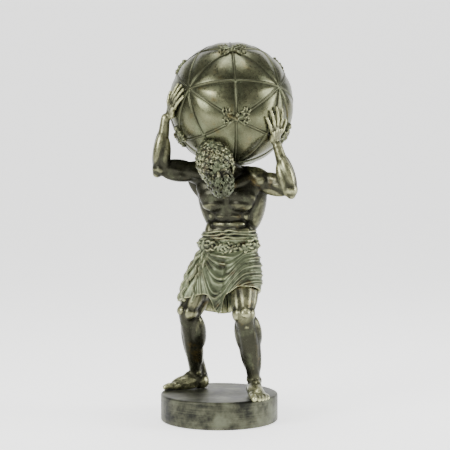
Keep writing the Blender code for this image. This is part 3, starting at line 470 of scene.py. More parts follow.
class Limb:
    """A stretch of the body between two joints, with its own front and its own outer side."""

    def __init__(self, masses, start, end, front, outer):
        self.masses, self.start, self.end = masses, start, end
        self.along = (end - start).normalized()
        self.front = (front - self.along * front.dot(self.along)).normalized()
        side = self.along.cross(self.front)
        self.side = side if side.dot(outer) > 0 else -side

    def at(self, share, front=0.0, side=0.0):
        return self.start.lerp(self.end, share) + self.front * front + self.side * side

    def muscle(self, start, end, thick, wide=None):
        """A spindle between two points of the limb."""
        a, b = self.at(*start), self.at(*end)
        long = (b - a) / 2
        front = (self.front - long * self.front.dot(long) / long.length_squared).normalized()
        side = long.cross(front).normalized()
        self.masses.append(((a + b) / 2, long, side * (wide or thick), front * thick))

    def ball(self, at, long, wide, thick):
        self.masses.append((self.at(*at), self.along * long, self.side * wide, self.front * thick))

    def lay(self, *parts):
        """Lays muscles, given by their two ends, and balls, given by their middle."""
        for part in parts:
            if isinstance(part[1], tuple):
                self.muscle(*part)
            else:
                self.ball(*part)

    def bone(self, start, end, first, last):
        """A straight tapering core of beads that lie close enough to read as one."""
        a, b = self.at(*start), self.at(*end)
        steps = max(2, ceil((b - a).length / (0.4 * min(first, last))))
        for step in range(steps + 1):
            share = step / steps
            radius = first + (last - first) * share
            self.masses.append((a.lerp(b, share), self.along * radius, self.side * radius,
                self.front * radius))


def add_trunk(masses):
    belly = Limb(masses, PELVIS, CHEST, PELVIS_FRONT, RIGHTWARD)
    belly.lay(((-0.05, -0.5, 0), 13, 21.5, 13), ((0.45, 0, 1.4), 17, 18, 12))
    for sign in (1, -1):
        belly.ball((-0.16, -8.0, sign * 9.6), 11.5, 10.5, 9.5)
        belly.ball((0.42, 1.5, sign * 14.6), 11.0, 5.6, 8.2)
        belly.muscle((0.0, -7.5, sign * 4.6), (1.2, -9.5, sign * 5.0), 4.0, 4.6)
    chest = Limb(masses, WAIST, NECK_BASE, CHEST_FRONT, RIGHTWARD)
    chest.lay(((0.46, -2.2, 0), 23, 21.5, 13.3), ((0.8, -2, 0), 10, 20, 11))
    for sign, reaches in FLANK.items():
        add_chest_side(Limb(masses, WAIST, NECK_BASE, CHEST_FRONT, RIGHTWARD * sign), *reaches)


def add_chest_side(chest, flank, armpit):
    """Breast, belly, side and back muscles on one side, with the arm raised."""
    chest.lay(
        ((0.5, 8.6, 10.8), 6, 10.2, 5.2), ((0.62, 7.6, 12), 9, 11.6, 5.6),
        ((0.58, 8.2, 8.4), (0.86, 4, 25), 4.6, 8.2), ((0.78, 8.4, 2.6), (0.92, 5.4, 21), 3.6, 5),
        ((0.3, 6.4, 2.6), 5.2, 9.4, 4.9), ((0.31, 3, 13), 6.4, 6, 6),
        ((0.17, 7.8, 3.6), 3.7, 10.4, 5.4), ((0.05, 8.6, 6), 5.2, 12, 5.2),
        ((0, -2, flank), (0.84, -2.5, armpit), 9.5, 6.8), ((0.5, -3, 21), (0.98, -3, 35), 4.6, 5),
        ((0.3, -8.5, 11.5), (0.88, -7, 21), 6, 9), ((0.7, -12, 10.5), 10, 8.4, 4.6),
        ((0.55, -12, 3), (1.22, -10, 5), 6, 6.4), ((0.9, -6, 3), (0.98, -3, 22), 6, 7.4),
        ((0.93, 6.5, 2), (0.99, 2.5, 20), 1.9, 2))


def add_leg(masses, name):
    thigh = Limb(masses, HIP[name], KNEE[name], KNEE_FRONT[name], OUTER[name])
    thigh.bone((0.0, 0, 0), (1.0, 0, 0), 10.0, 7.6)
    thigh.lay(
        ((-0.1, 5, 0), (1.02, 4.6, 0.4), 7.2, 7.6), ((-0.12, 1.5, 6), (0.99, 2.6, 4.4), 7, 6.8),
        ((0.24, 2.4, -5), (1.06, 3, -4.4), 6.6, 6.2), ((-0.12, -2, -5.6), (0.8, -1, -4.4), 8.8, 8),
        ((-0.16, -6, 3), (1.08, -5, 5.2), 6.2, 5), ((-0.1, -6, -3), (1.08, -5, -5), 6, 4.8),
        ((1, 6.9, 0), 4.4, 4.4, 3.4), ((0.97, 1.2, 3.6), 6.6, 5, 6.2),
        ((0.97, 1.2, -4.6), 6.6, 5.2, 6.4))
    shank = Limb(masses, KNEE[name], ANKLE[name], KNEE_FRONT[name], OUTER[name])
    shank.bone((0.0, 0, 0), (1.0, -0.6, 0), 7.6, 5.0)
    shank.lay(
        ((-0.02, 3.8, -0.6), (1.02, 1.8, 0.4), 3.6, 3.6), ((0.12, 5.2, 0), 3.6, 3.2, 2.4),
        ((0, -4, INNER_CALF[name]), (0.6, -4.6, INNER_CALF[name] + 0.8), 7.2, 6.4),
        ((0, -4, 5.4), (0.55, -4.4, 5.6), 7, 6.8), ((0.14, -3, 0), (0.92, -3.4, 0), 5.8, 7.8),
        ((0.06, 2.2, 4.2), (0.8, 1.4, 2.6), 4.4, 3.8),
        ((0.1, -0.6, 6.4), (0.92, -1.6, 4.2), 4.6, 4), ((0.5, -3, 0), (1.04, -4.8, 0), 4.6, 4.4))
    shank.bone((0.60, -4.4, 0), (1.12, -6.8, 0), 3.4, 4.6)
    shank.lay(((0.955, -0.4, -4.2), 3.2, 2, 3), ((0.995, -0.8, 4.2), 3.2, 2, 2.8))
    add_foot(masses, name)


def add_foot(masses, name):
    """A bare foot flat on the plinth: heel, arch, ball and five toes."""
    heel = Vector((ANKLE[name].x, ANKLE[name].y, 0.0))
    foot = Limb(masses, heel, heel + TOES[name].normalized() * 10, UP, OUTER[name])
    foot.ball((-0.46, 5.4, 0), 7.0, 6.0, 6.6)
    foot.bone((-0.16, 8.4, 0), (0.40, 7.6, 0), 5.2, 5.2)
    foot.lay(
        ((0.42, 9.4, 0), 5.6, 4.8, 4.6), ((-0.5, 8, -0.6), (2.05, 3, -1), 5.8, 6.4),
        ((-0.5, 3.6, 2.2), (2.1, 2.2, 3.8), 3.2, 4.2),
        ((-0.7, 3.4, -2.2), (2.1, 2.6, -4.2), 3.4, 3.4), ((1.5, 3, -0.2), 6.4, 7.4, 3.1),
        ((1.7, 3.2, -4.6), 4, 3.4, 3.2))
    toe_bases = ((1.78, -5.0, 2.6, 7.8), (1.80, -1.0, 1.75, 7.4), (1.70, 2.0, 1.7, 6.8),
        (1.56, 4.8, 1.6, 5.8), (1.38, 7.3, 1.5, 4.8))
    for base, side, radius, length in toe_bases:
        knuckle = (base + length * 0.06, radius + 0.7, side)
        foot.bone((base, 2.6, side), knuckle, radius, radius)
        foot.bone(knuckle, (base + length * 0.1, radius * 0.88, side), radius, radius * 0.88)


def add_neck_and_head(masses):
    neck = Limb(masses, NECK_BASE + Vector((0, 0, -2)), SKULL, Vector((0, 0, -1)), RIGHTWARD)
    neck.bone((-0.2, 0, 0), (0.9, 0, 0), 10.0, 8.4)
    neck.lay(((-0.3, -3, 7), (1, -1, 5), 6.4), ((-0.3, -3, -7), (1, -1, -5), 6.4))
    head = head_frame(masses)
    head.lay(((-0.06, -1, 0), 12.6, 11, 13.4), ((0.5, 2.4, 0), 12, 8.6, 8.4))
    face = Limb(masses, BROW, FACE_FOOT, Vector((-0.04, -0.96, -0.20)), RIGHTWARD)
    face.lay(
        ((0.4, 1, 0), 11, 8.8, 7.6), ((0.14, 5.6, 0), 2, 7.2, 3), ((0.92, 6, 0), 4.2, 4.6, 4),
        ((0.16, 8.6, 0), (0.58, 12, 0), 1.9, 1.5), ((0.56, 11, 0), 1.6, 2.6, 1.9),
        ((0.76, 9.4, 0), 1.2, 3.2, 1.8))
    for sign in (1, -1):
        face.ball((0.50, 6.2, sign * 5.0), 2.8, 2.5, 2.6)
        face.ball((0.31, 7.0, sign * 3.6), 1.5, 2.1, 1.5)


def head_frame(masses):
    return Limb(masses, SKULL, CHIN, Vector((0.25, -1.0, 0.0)), RIGHTWARD)


class GlobeSkin:
    """The globe seen from the figure, in figure units."""

    def __init__(self):
        self.centre = (globe_centre() - in_metres(ORIGIN)) / unit()
        self.radius = (globe_radius() + sizes().panel_crown + TOUCH_GAP) / unit()

    def above(self, point, height):
        return self.centre + (point - self.centre).normalized() * (self.radius + height)

    def out(self, point):
        return (point - self.centre).normalized()


def walk(skin, start, heading, length, height):
    """A step along the skin, and the heading at its end."""
    out = skin.out(start)
    heading = (heading - out * heading.dot(out)).normalized()
    end = skin.above(start + heading * length, height)
    return end, (end - start).normalized()


def wrist_of(skin, name):
    palm = skin.above(skin.centre + PALM[name], PALM_THICKNESS * 0.62)
    back, _ = walk(skin, palm, -FINGERS[name], PALM_LENGTH * 0.72, PALM_THICKNESS * 1.35)
    return back


def add_hand(masses, skin, name):
    """A palm and five fingers pressed to the globe."""
    palm = skin.above(skin.centre + PALM[name], PALM_THICKNESS * 0.52)
    out = skin.out(palm)
    ahead = (FINGERS[name] - out * FINGERS[name].dot(out)).normalized()
    thumb_way = out.cross(ahead) * THUMB_SIDE[name]
    hand = Limb(masses, palm - ahead * PALM_LENGTH / 2, palm + ahead * PALM_LENGTH / 2, out,
        thumb_way)
    hand.ball((0.5, 0, 0), PALM_LENGTH * 0.60, PALM_WIDTH * 0.50, PALM_THICKNESS * 0.52)
    hand.muscle((-0.30, -0.8, 0), (0.35, -0.2, 0), 3.6, 4.4)
    hand.ball((0.18, -0.4, 2.6), 4.6, 2.8, 2.6)
    hand.ball((0.18, -0.4, -2.6), 4.4, 2.6, 2.4)
    for finger, length in enumerate(FINGER_LENGTHS):
        step = 1.5 - finger
        turn = Matrix.Rotation(step * FINGER_SPREAD[name] * THUMB_SIDE[name], 3, out)
        root = hand.at(0.86 - 0.03 * abs(step) ** 2, 0, step * PALM_WIDTH * 0.255)
        spot = skin.above(root, FINGER_RADIUS * 1.25)
        hand.bone((0.30, 0.9, step * PALM_WIDTH * 0.15), (0.84, 0.8, step * PALM_WIDTH * 0.25),
            1.3, 1.5)
        add_finger(masses, skin, spot, turn @ ahead, length, FINGER_RADIUS)
    thumb_root = skin.above(hand.at(0.20, 0, PALM_WIDTH * 0.40), FINGER_RADIUS * 1.2)
    thumb_ahead = Matrix.Rotation(radians(38) * THUMB_SIDE[name], 3, out) @ ahead
    add_finger(masses, skin, thumb_root, thumb_ahead, 13.5, FINGER_RADIUS * 1.14)


def add_finger(masses, skin, spot, heading, length, radius):
    for bone, share in enumerate(PHALANX_SHARES):
        thin = radius * (1 - 0.08 * bone)
        lift = thin * (1.35, 1.15, 0.92)[bone]
        end, heading = walk(skin, spot, heading, length * share, lift)
        for step in range(6):
            waist = 1 - 0.10 * sin(pi * step / 5)
            at = spot.lerp(end, step / 5)
            size = thin * waist
            masses.append((at, Vector((size, 0, 0)), Vector((0, size, 0)), Vector((0, 0, size))))
        spot = end


def add_arm(masses, skin, name):
    wrist = wrist_of(skin, name)
    bend = wrist - ELBOW[name]
    arm = Limb(masses, SHOULDER[name], ELBOW[name], bend, Vector((0, -1, 0)))
    arm.bone((0.0, 0, 0), (1.0, 0, 0), 7.4, 5.6)
    arm.lay(
        ((-0.28, 1.6, 0), (0.5, 0.6, 0.4), 8.2, 8.8), ((-0.1, 0, 4.8), (0.52, 0.6, 3.4), 6, 4.8),
        ((-0.1, 0, -4.8), (0.52, 0, -3.4), 6, 4.8), ((-0.62, -6, 0), (0.44, -3.4, 0), 6.4, 6.8),
        ((0.2, 3.6, 0.4), (0.98, 3.4, 0.6), 5.6, 5.6),
        ((0.12, -3.4, 2.2), (0.96, -3.6, 1.8), 5.4, 4.6),
        ((0.12, -3.4, -2.2), (0.92, -3.6, -2), 5.6, 4.4),
        ((0.42, 0.4, 3.8), (1.04, 1.4, 3.6), 3.6, 3.2), ((1.04, -4, 0), 3.8, 3.6, 3.4),
        ((0.99, 0, 3.8), 4, 2.8, 3.8), ((0.99, 0, -3.8), 4, 2.8, 3.8))
    forearm = Limb(masses, ELBOW[name], wrist, -arm.along, arm.side)
    forearm.bone((0.0, 0, 0), (1.0, 0, 0), 5.8, 3.7)
    forearm.lay(
        ((-0.14, 2.8, 2.8), (0.66, 1.8, 2.8), 5, 4.6),
        ((-0.04, 2, -3), (0.74, 1.6, -2.2), 5.2, 4.8),
        ((-0.02, -2.6, 1.6), (0.74, -1.6, 2), 4.8, 4.4),
        ((-0.04, -2.8, -2.2), (0.8, -1.4, -1.8), 4.4, 4))
    for tendon in (-1.4, 0.0, 1.4):
        forearm.bone((0.45, 2.6, tendon * 1.5), (0.98, 2.3, tendon), 2.1, 1.2)
    forearm.ball((0.98, 0, 0), 3.6, 4.0, 3.3)
    add_hand(masses, skin, name)


def lower_body():
    masses = []
    add_trunk(masses)
    for name in SIDES:
        add_leg(masses, name)
    return masses


# Casting: masses to one skin, in metres, clear of the globe and the plinth

def cast(name, masses, grain, rounds, detail=3, crisp=()):
    """Fuses rounded masses into one closed skin in metres, softened except at the crisp spots."""
    obj = put(name, mesh_of(masses, detail))
    scale_up(obj.data)
    apply_modifier(obj, "REMESH", mode="VOXEL", voxel_size=grain)
    soften(obj.data, rounds, crisp)
    keep_clear(obj.data)
    triangles = sum(len(face.vertices) - 2 for face in obj.data.polygons)
    if triangles > FACE_BUDGET:
        apply_modifier(obj, "DECIMATE", ratio=FACE_BUDGET / triangles,
            use_collapse_triangulate=True)
    return obj


def soften(mesh, rounds, crisp):
    """Wears the skin smooth, by less near each crisp spot (place, radius, least wear)."""
    points = points_of(mesh)
    ends, count = joins_of(mesh, len(points))
    weight = np.ones(len(points))
    for spot, radius, least in crisp:
        away = np.linalg.norm(points - np.array(in_metres(spot)), axis=1) / (radius * unit())
        weight = np.minimum(weight, np.clip(1.6 * away - 0.9, least, 1))
    for _ in range(rounds):
        points += 0.5 * weight[:, None] * (neighbour_mean(points, ends, count) - points)
    set_points(mesh, points)


def keep_clear(mesh):
    """Presses the skin to the globe and the plinth, a touch gap clear of both."""
    points = points_of(mesh)
    centre = np.array(globe_centre())
    away = points - centre
    reach = np.linalg.norm(away, axis=1)
    least = globe_radius() + sizes().panel_crown + TOUCH_GAP
    pressed = centre + away / reach[:, None] * np.maximum(reach, least)[:, None]
    pressed[:, 2] = np.maximum(pressed[:, 2], plinth_top() + TOUCH_GAP)
    set_points(mesh, pressed)


# The loincloth

def reach_of(masses, origins, directions):
    """How far the body reaches from each origin along its direction."""
    best = np.zeros(len(origins))
    for middle, long, wide, thick in masses:
        inverse = np.linalg.inv(np.array((long, wide, thick)).T)
        start = (origins - np.array(middle)) @ inverse.T
        way = directions @ inverse.T
        a = (way * way).sum(1)
        b = (start * way).sum(1)
        c = (start * start).sum(1) - 1
        root = b * b - a * c
        reach = np.where(root > 0, (np.sqrt(np.maximum(root, 0)) - b) / a, 0.0)
        best = np.maximum(best, reach)
    return best


def reach_round(masses, bearings, heights):
    bearings, heights = np.broadcast_arrays(bearings, heights)
    origins = np.stack([np.full(heights.shape, CLOTH_AXIS.x),
        np.full(heights.shape, CLOTH_AXIS.y), heights], -1).reshape(-1, 3)
    ways = np.stack([np.cos(bearings), np.sin(bearings), 0 * heights], -1).reshape(-1, 3)
    return reach_of(masses, origins, ways).reshape(heights.shape)


def pulled_taut(reach, bearings):
    """Each row of radii drawn out to its convex outline, as cloth bridges a hollow."""
    cosine = np.cos(bearings[:, None] - bearings[None, :])
    support = (reach[:, :, None] * cosine[None]).max(1)
    facing = np.where(cosine > 0.15, cosine, np.nan)
    return np.nanmin(support[:, None, :] / facing[None], axis=2)


def smooth_round(values, rounds):
    for _ in range(rounds):
        values = (np.roll(values, 1, 1) + 2 * values + np.roll(values, -1, 1)) / 4
        inner = (values[:-2] + 2 * values[1:-1] + values[2:]) / 4
        values = np.concatenate([values[:1], inner, values[-1:]])
    return values


def hem_height(bearings):
    known = np.array(HEM, float)
    around = np.concatenate([known - (360, 0), known, known + (360, 0)])
    degrees = np.degrees(bearings)
    return sum(np.interp(degrees + shift, around[:, 0], around[:, 1]) for shift in (-3, 0, 3)) / 3


def crest(distance, width):
    """A fold's rounded crest, falling off on both sides of a line."""
    return np.exp(-(distance / width) ** 2)


def fold_line(x, share):
    """Height of a fold at x, seen from the front: from the knot on the right hip steeply down to
    its low point, then up and over the left thigh. share is 0 for the first full fold and 1 for
    the last that ends above the hem's tip."""
    start, low_x = -12.0 - 2.5 * share, 4.5 - 8.5 * share
    low, thigh = 96.0 - 25.0 * share, 107.5 - 10.0 * share
    falling = low + (FOLDS_TOP - low) * np.clip((low_x - x) / (low_x - start), 0, 1.4) ** 2.2
    climb = np.sin(np.pi / 2 * np.clip((x - low_x) / (20.0 - low_x), 0, 1)) ** 1.5
    rising = low + (thigh - low) * climb
    rising += 2.2 * np.sin(np.pi * np.clip((x - 15.0) / 22.0, 0, 1))
    return np.where(x < low_x, falling, rising)


def fold_relief(bearing, reach, height, folds, depth, width):
    """Height of the folds: long sweeps in front, pleats on the hip and behind."""
    degrees = np.degrees(bearing)
    x = CLOTH_AXIS.x + reach * np.cos(bearing)
    fade = np.where(degrees < 90, np.clip((24 - degrees) / 22, 0, 1), 0)
    apron = np.clip((x + 14.5 + 0.08 * (FOLDS_TOP - height)) / 1.4 + 0.5, 0, 1)
    relief = APRON_STEP * apron * fade
    sweeps = np.zeros_like(degrees)
    for fold in range(folds):
        share = -0.5 + 2.6 * (fold + 0.16 * sin(2.9 * fold)) / (folds - 1)
        line = fold_line(x, share)
        rise = fold_line(x + 0.2, share) - fold_line(x - 0.2, share)
        steepness = np.sqrt(1 + rise ** 2 / 0.16)
        room = np.abs(fold_line(x, share + 2.6 / (folds - 1)) - line) / steepness
        wide = np.clip(0.46 * room, 0.5, width)
        strength = depth * (0.70 + 0.30 * sin(2.3 * fold + 0.7)) * (wide / width) ** 0.7
        strength = strength * (1 + 0.22 * np.sin(0.31 * x + 1.9 * fold))
        sweeps = np.maximum(sweeps, strength * crest((height - line) / steepness, wide))
    relief += sweeps * fade * apron
    behind = np.maximum(1 - apron, 1 - fade)
    fall = np.clip((FOLDS_TOP - height) / 14, 0, 1)
    relief += 1.0 * behind * fall * np.sin(bearing * 19 + 0.05 * height)
    relief += 0.45 * behind * fall * np.sin(bearing * 43 - 0.11 * height + 1.0)
    return relief


def outward(bearing):
    return Vector((cos(bearing), sin(bearing), 0))


class Cloth:
    """The loincloth's smooth fall over the body, and its folded outer face."""

    def __init__(self, body, columns, rows, folds, depth, width):
        coarse = np.linspace(-np.pi, np.pi, 220, endpoint=False)
        fall = np.linspace(0, 1, 56)
        hem = hem_height(coarse)
        height = CLOTH_TOP + (hem - CLOTH_TOP)[None] * fall[:, None]
        reach = pulled_taut(reach_round(body, coarse[None], height), coarse)
        for row in range(1, len(fall)):
            drop = height[row - 1] - height[row]
            reach[row] = np.maximum(reach[row], reach[row - 1] - 0.25 * drop)
        self.coarse, self.coarse_height = coarse, height
        self.coarse_reach = smooth_round(reach, 9) + CLOTH_STANDOFF
        self.bearings = np.linspace(-np.pi, np.pi, columns, endpoint=False)
        self.fall = np.linspace(0, 1, rows)
        hem = hem_height(self.bearings)
        self.height = CLOTH_TOP + (hem - CLOTH_TOP)[None] * self.fall[:, None]
        self.reach = self.finer(self.coarse_reach, fall)
        self.bearing = np.broadcast_to(self.bearings[None], self.height.shape)
        self.outer = self.reach + fold_relief(self.bearing, self.reach, self.height, folds, depth,
            width)

    def finer(self, coarse_reach, fall):
        """The coarse radii read off at the fine grid's places."""
        by_row = np.stack([np.interp(self.fall, fall, column) for column in coarse_reach.T], 1)
        around = np.concatenate([by_row, by_row[:, :1]], 1)
        spots = np.append(self.coarse, np.pi)
        return np.stack([np.interp(self.bearings, spots, row) for row in around])

    def point_at(self, degrees, height, proud=0.0):
        """A point that stands so far out from the smooth cloth."""
        bearing = (radians(degrees) + pi) % tau - pi
        column = int(round((bearing + pi) / tau * len(self.coarse))) % len(self.coarse)
        reach = np.interp(-height, -self.coarse_height[:, column],
            self.coarse_reach[:, column]) + proud
        way = outward(bearing)
        return CLOTH_AXIS + way * reach + Vector((0, 0, height)), way

    def sheet(self):
        """A closed sheet: the folded outer face, a plainer inner face and the two rims."""
        step = max(1, len(self.bearings) // 73)
        turns = [np.roll(self.outer, turn, 1) for turn in range(-step, step + 1)]
        inner = np.minimum.reduce(turns) - CLOTH_THICKNESS
        inner_rows = np.linspace(len(self.fall) - 1, 0, 24).round().astype(int)
        radii = np.concatenate([self.outer, inner[inner_rows]])
        heights = np.concatenate([self.height, self.height[inner_rows]])
        x = CLOTH_AXIS.x + radii * np.cos(self.bearings)
        y = CLOTH_AXIS.y + radii * np.sin(self.bearings)
        points = np.stack([x, y, heights], 2)
        rows, columns = heights.shape
        index = np.arange(rows * columns).reshape(rows, columns)
        below = np.roll(index, -1, 0)
        faces = np.stack([index, below, np.roll(below, -1, 1), np.roll(index, -1, 1)], 2)
        mesh = bpy.data.meshes.new("loincloth")
        mesh.from_pydata(points.reshape(-1, 3).tolist(), [], faces.reshape(-1, 4).tolist())
        return mesh


def add_belt(masses, body, cloth):
    """Thin folds round the waist over a thick twist of cloth, with a knot on each hip."""
    bearings = np.linspace(0, tau, 200, endpoint=False)
    levels = np.array([[height] for height, *_ in BANDS] + [[FOLDS_TOP]])
    reaches = pulled_taut(reach_round(body, bearings[None], levels), bearings)
    hips = reaches[-1]
    for (height, radius, proud, spread), waist in zip(BANDS, reaches):
        for bearing, reach in zip(bearings, waist + (hips - waist) * spread):
            out = outward(bearing)
            middle = CLOTH_AXIS + out * (float(reach) + proud)
            middle.z = height - 1.2 * sin(bearing - 0.3) + 0.4 * sin(5 * bearing + height)
            masses.append((middle, out.cross(UP) * 2.2, out * radius * 1.3,
                Vector((0, 0, radius * 0.72))))
    for index in range(TWIST_LUMPS):
        bearing = tau * index / TWIST_LUMPS
        out = outward(bearing)
        along = out.cross(UP)
        reach = np.interp(bearing, bearings, hips, period=tau)
        middle = CLOTH_AXIS + out * (float(reach) + 1.9)
        middle.z = TWIST_HEIGHT + 1.6 * sin(bearing - 0.1)
        masses.append((middle, along * 2.2, out * TWIST_RADIUS * 0.62,
            Vector((0, 0, TWIST_RADIUS * 0.66))))
        phase = 2.4 * index
        middle = middle + (out * cos(phase) + Vector((0, 0, sin(phase)))) * 2.7
        slant = 0.95 * sin(1.7 * index)
        long = along * cos(slant) + Vector((0, 0, sin(slant)))
        masses.append((middle, long * (2.9 + sin(3.1 * index)), out * 1.5, out.cross(long) * 1.15))
    for degrees, height in KNOTS.values():
        for step in range(7):
            angle = tau * step / 7 + 0.4
            spot, out = cloth.point_at(degrees + 8 * cos(angle), FOLDS_TOP, 2.4)
            spot.z = height + 4.0 * sin(angle)
            along = Vector((-out.y, out.x, 0.8 * sin(3 * angle))).normalized()
            masses.append((spot, along * 3.4, out * 2.8, out.cross(along) * 1.5))


def add_hanging_end(masses, cloth):
    """The cloth's free end, falling in ragged pleats down the outside of the right thigh."""
    for pleat in range(TAIL_PLEATS):
        share = pleat / (TAIL_PLEATS - 1)
        degrees = TAIL_SPAN[0] + (TAIL_SPAN[1] - TAIL_SPAN[0]) * share
        foot = TAIL_FOOT + 5.0 * abs(share - 0.3) + 1.5 * (pleat % 2)
        beads = int((TAIL_TOP - foot) / 1.0)
        for bead in range(beads + 1):
            height = TAIL_TOP + (foot - TAIL_TOP) * bead / beads
            gather = 0.35 + 0.65 * min(1.0, (TAIL_TOP - height) / 22)
            middle_degrees = sum(TAIL_SPAN) / 2
            turn = middle_degrees + (degrees - middle_degrees) * gather
            turn += 1.6 * sin(0.19 * height + 2 * pleat)
            ruffle = 0.9 * sin(0.62 * height + 2.4 * pleat)
            proud = 2.2 - 2.0 * bead / beads + ruffle
            spot, out = cloth.point_at(turn, min(height, FOLDS_TOP), proud)
            spot.z = height
            masses.append((spot, out * 1.7, Vector((-out.y, out.x, 0)) * 1.3, Vector((0, 0, 1.6))))


# Hair and beard

def spread_over(count):
    """Directions spread evenly over a ball by the golden angle."""
    golden_angle = pi * (3 - sqrt(5))
    for index in range(count):
        height = 1 - 2 * (index + 0.5) / count
        reach = sqrt(1 - height * height)
        angle = golden_angle * index
        yield reach * cos(angle), reach * sin(angle), height


def add_curl(masses, middle, out, radius, turn):
    """A curl: beads that shrink and rise as they wind in to its middle."""
    across = Matrix.Rotation(turn, 3, out) @ out.orthogonal().normalized()
    along = out.cross(across)
    hand = 1 if sin(turn * 5) > -0.3 else -1
    for step in range(11):
        angle = hand * tau * step / 7.5
        arm = across * cos(angle) + along * sin(angle)
        lump = radius * (0.40 - 0.012 * step)
        centre = middle + arm * radius * (0.78 - 0.062 * step) + out * radius * 0.045 * step
        masses.append((centre, across * lump, along * lump, out * lump))


def add_curls(head, middle, size, count, radius, covers):
    for index, (front, side, down) in enumerate(spread_over(count)):
        if not covers(front, side, down):
            continue
        spot = head.front * front * size[1] + head.side * side * size[2]
        spot += head.along * down * size[0]
        out = (head.front * front / size[1] + head.side * side / size[2]
               + head.along * down / size[0]).normalized()
        swell = 1 + 0.18 * sin(3.1 * index)
        add_curl(head.masses, middle + spot, out, radius * swell, 1.7 * index)


def on_scalp(front, side, down):
    face = front > 0.25 and down > 0.60 and abs(side) < 0.62
    return not face and down < 0.90


def on_beard(front, side, down):
    return front > -0.4 and (down > 0.10 or abs(side) > 0.70)


def hair_masses():
    masses = []
    head = head_frame(masses)
    scalp = head.at(0.02, -1.2, 0)
    head.ball((0.02, -1.2, 0), SCALP[0] - 1.6, SCALP[2] - 1.4, SCALP[1] - 1.6)
    add_curls(head, scalp, SCALP, SCALP_CURLS, SCALP_CURL_RADIUS, on_scalp)
    beard = Limb(masses, JAW, JAW + head.along, head.front, head.side)
    beard.ball((0, -0.8, 0), BEARD[0] - 2.2, BEARD[2] - 1.8, BEARD[1] - 2.2)
    add_curls(beard, JAW, BEARD, BEARD_CURLS, BEARD_CURL_RADIUS, on_beard)
    for sign in (1, -1):
        beard.muscle((0.4, 10.2, sign * 0.6), (2.4, 8.0, sign * 6.4), 1.4, 1.2)
    return masses


def rubbing_and_painted_light(mesh, spots):
    """Marks how much each point was rubbed or lit by a painted highlight, or below zero how much
    dark wash and painted shade it gets, falling off over each spot's radius."""
    points = points_of(mesh)
    mark = np.zeros(len(points))
    for spot, radius, strength in spots:
        away = np.linalg.norm(points - np.array(in_metres(spot)), axis=1) / (radius * unit())
        mark += strength * np.clip(1.5 - away, 0, 1)
    set_attribute(mesh, "rubbing_and_painted_light", mark)


def mark(obj, spots=()):
    """Marks the piece's relief and its spots of rubbing, painted highlight and painted shade, and
    shades it smooth.
    """
    if obj.name in RELIEF_ROUNDS:
        mark_relief(obj.data, *RELIEF_ROUNDS[obj.name])
    rubbing_and_painted_light(obj.data, spots)
    smooth(obj)


def finish(obj, slot, *nodes, spots=()):
    """Marks the piece and coats it in bronze."""
    mark(obj, spots)
    name, tint, *shares = COATS[obj.name]
    dress(obj, patinated_bronze(name, getattr(colours(), tint), *shares), slot, *nodes)
    return {"FINISHED"}


# Operators

class FIGURINE_OT_plinth(bpy.types.Operator):
    """Turn the round plinth with its worn edges"""

    bl_idname = "figurine.add_plinth"
    bl_label = "Add plinth"

    def execute(self, context):
        low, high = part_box("plinth")
        deselect()
        bpy.ops.mesh.primitive_cylinder_add(vertices=PLINTH_SIDES, radius=(high.x - low.x) / 2,
            depth=high.z - low.z, location=(0, 0, (low.z + high.z) / 2))
        plinth = fresh("plinth_drum")
        bm = edit(plinth)
        for face in bm.faces:
            face.select = abs(face.normal.z) > 0.9
        bmesh.update_edit_mesh(plinth.data)
        for thickness in (PLINTH_FIRST_RING,) + (PLINTH_RING,) * PLINTH_RINGS:
            bpy.ops.mesh.inset(thickness=thickness)
        bpy.ops.object.mode_set(mode="OBJECT")
        apply_modifier(plinth, "BEVEL", width=sizes().plinth_edge, segments=5,
            limit_method="ANGLE", angle_limit=radians(60))
        settle(plinth)
        mark(plinth)
        plinth.data.set_sharp_from_angle(angle=radians(50))
        dress(plinth, brushed_plinth(), "plinth_bronze", "plinth")
        return {"FINISHED"}


def brushed_plinth():
    """Cold-cast bronze with a grey wash wiped round the drum: level streaks on its side."""
    material = bare_material("grey-washed cold-cast bronze")
    tree = material.node_tree
    place = node(tree, "ShaderNodeTexCoord").outputs["Object"]
    # Streaks about 0.9 mm high and 25 mm long, and clouds of 14 mm
    flat = node(tree, "ShaderNodeMapping", {"Vector": place, "Scale": (40, 40, 1100)})
    streaks, clouds = (
        node(tree, "ShaderNodeTexNoise", {"Vector": way, "Scale": scale, "Detail": 4,
                                          "Roughness": 0.6})
        for way, scale in ((flat.outputs["Vector"], 1), (place, 1 / (14 * MM))))
    mottle = node(tree, "ShaderNodeMath", {0: streaks, 1: 0.30, 2: clouds},
        operation="MULTIPLY_ADD")
    tone, green, gloss = (
        node(tree, "ShaderNodeMapRange", {"Value": value, "From Min": low, "From Max": high,
                                          "To Min": first, "To Max": last})
        for value, low, high, first, last in ((mottle, 0.50, 0.88, 0, 1),
                                              (clouds, 0.5, 0.7, 0, 0.35),
                                              (streaks, 0.3, 0.7, 0.40, 0.56)))
    coat = (*linear("#1c1d17"), 1)
    for cover, code in ((tone, "#626350"), (green, "#5b6253")):
        coat = node(tree, "ShaderNodeMix", {"Factor": cover, "A": coat, "B": (*linear(code), 1)},
            data_type="RGBA")
    return lit(material, coat, 0.75, gloss, streaks, 0.25, 0.10 * MM)


def net_planes():
    square = [(1, 0, 0), (0, 1, 0), (0, 0, 1)]
    diagonal = [(1, 1, 0), (1, -1, 0), (1, 0, 1), (1, 0, -1), (0, 1, 1), (0, 1, -1)]
    return [Vector(normal).normalized() for normal in square + diagonal]


def net_knots():
    return [Vector((x, y, z)).normalized() for x in (1, -1) for y in (1, -1) for z in (1, -1)]


def net_radius(away):
    """Radius of the skin by the distance from the nearest cord's middle, in metres."""
    cord, groove, swell = net_shares(away)
    half = sizes().cord_width / 2
    panel = swell * sizes().panel_crown * (away > half * 0.8) - GROOVE_DEPTH * groove
    return globe_radius() + np.maximum(cord * sizes().cord_height, panel)


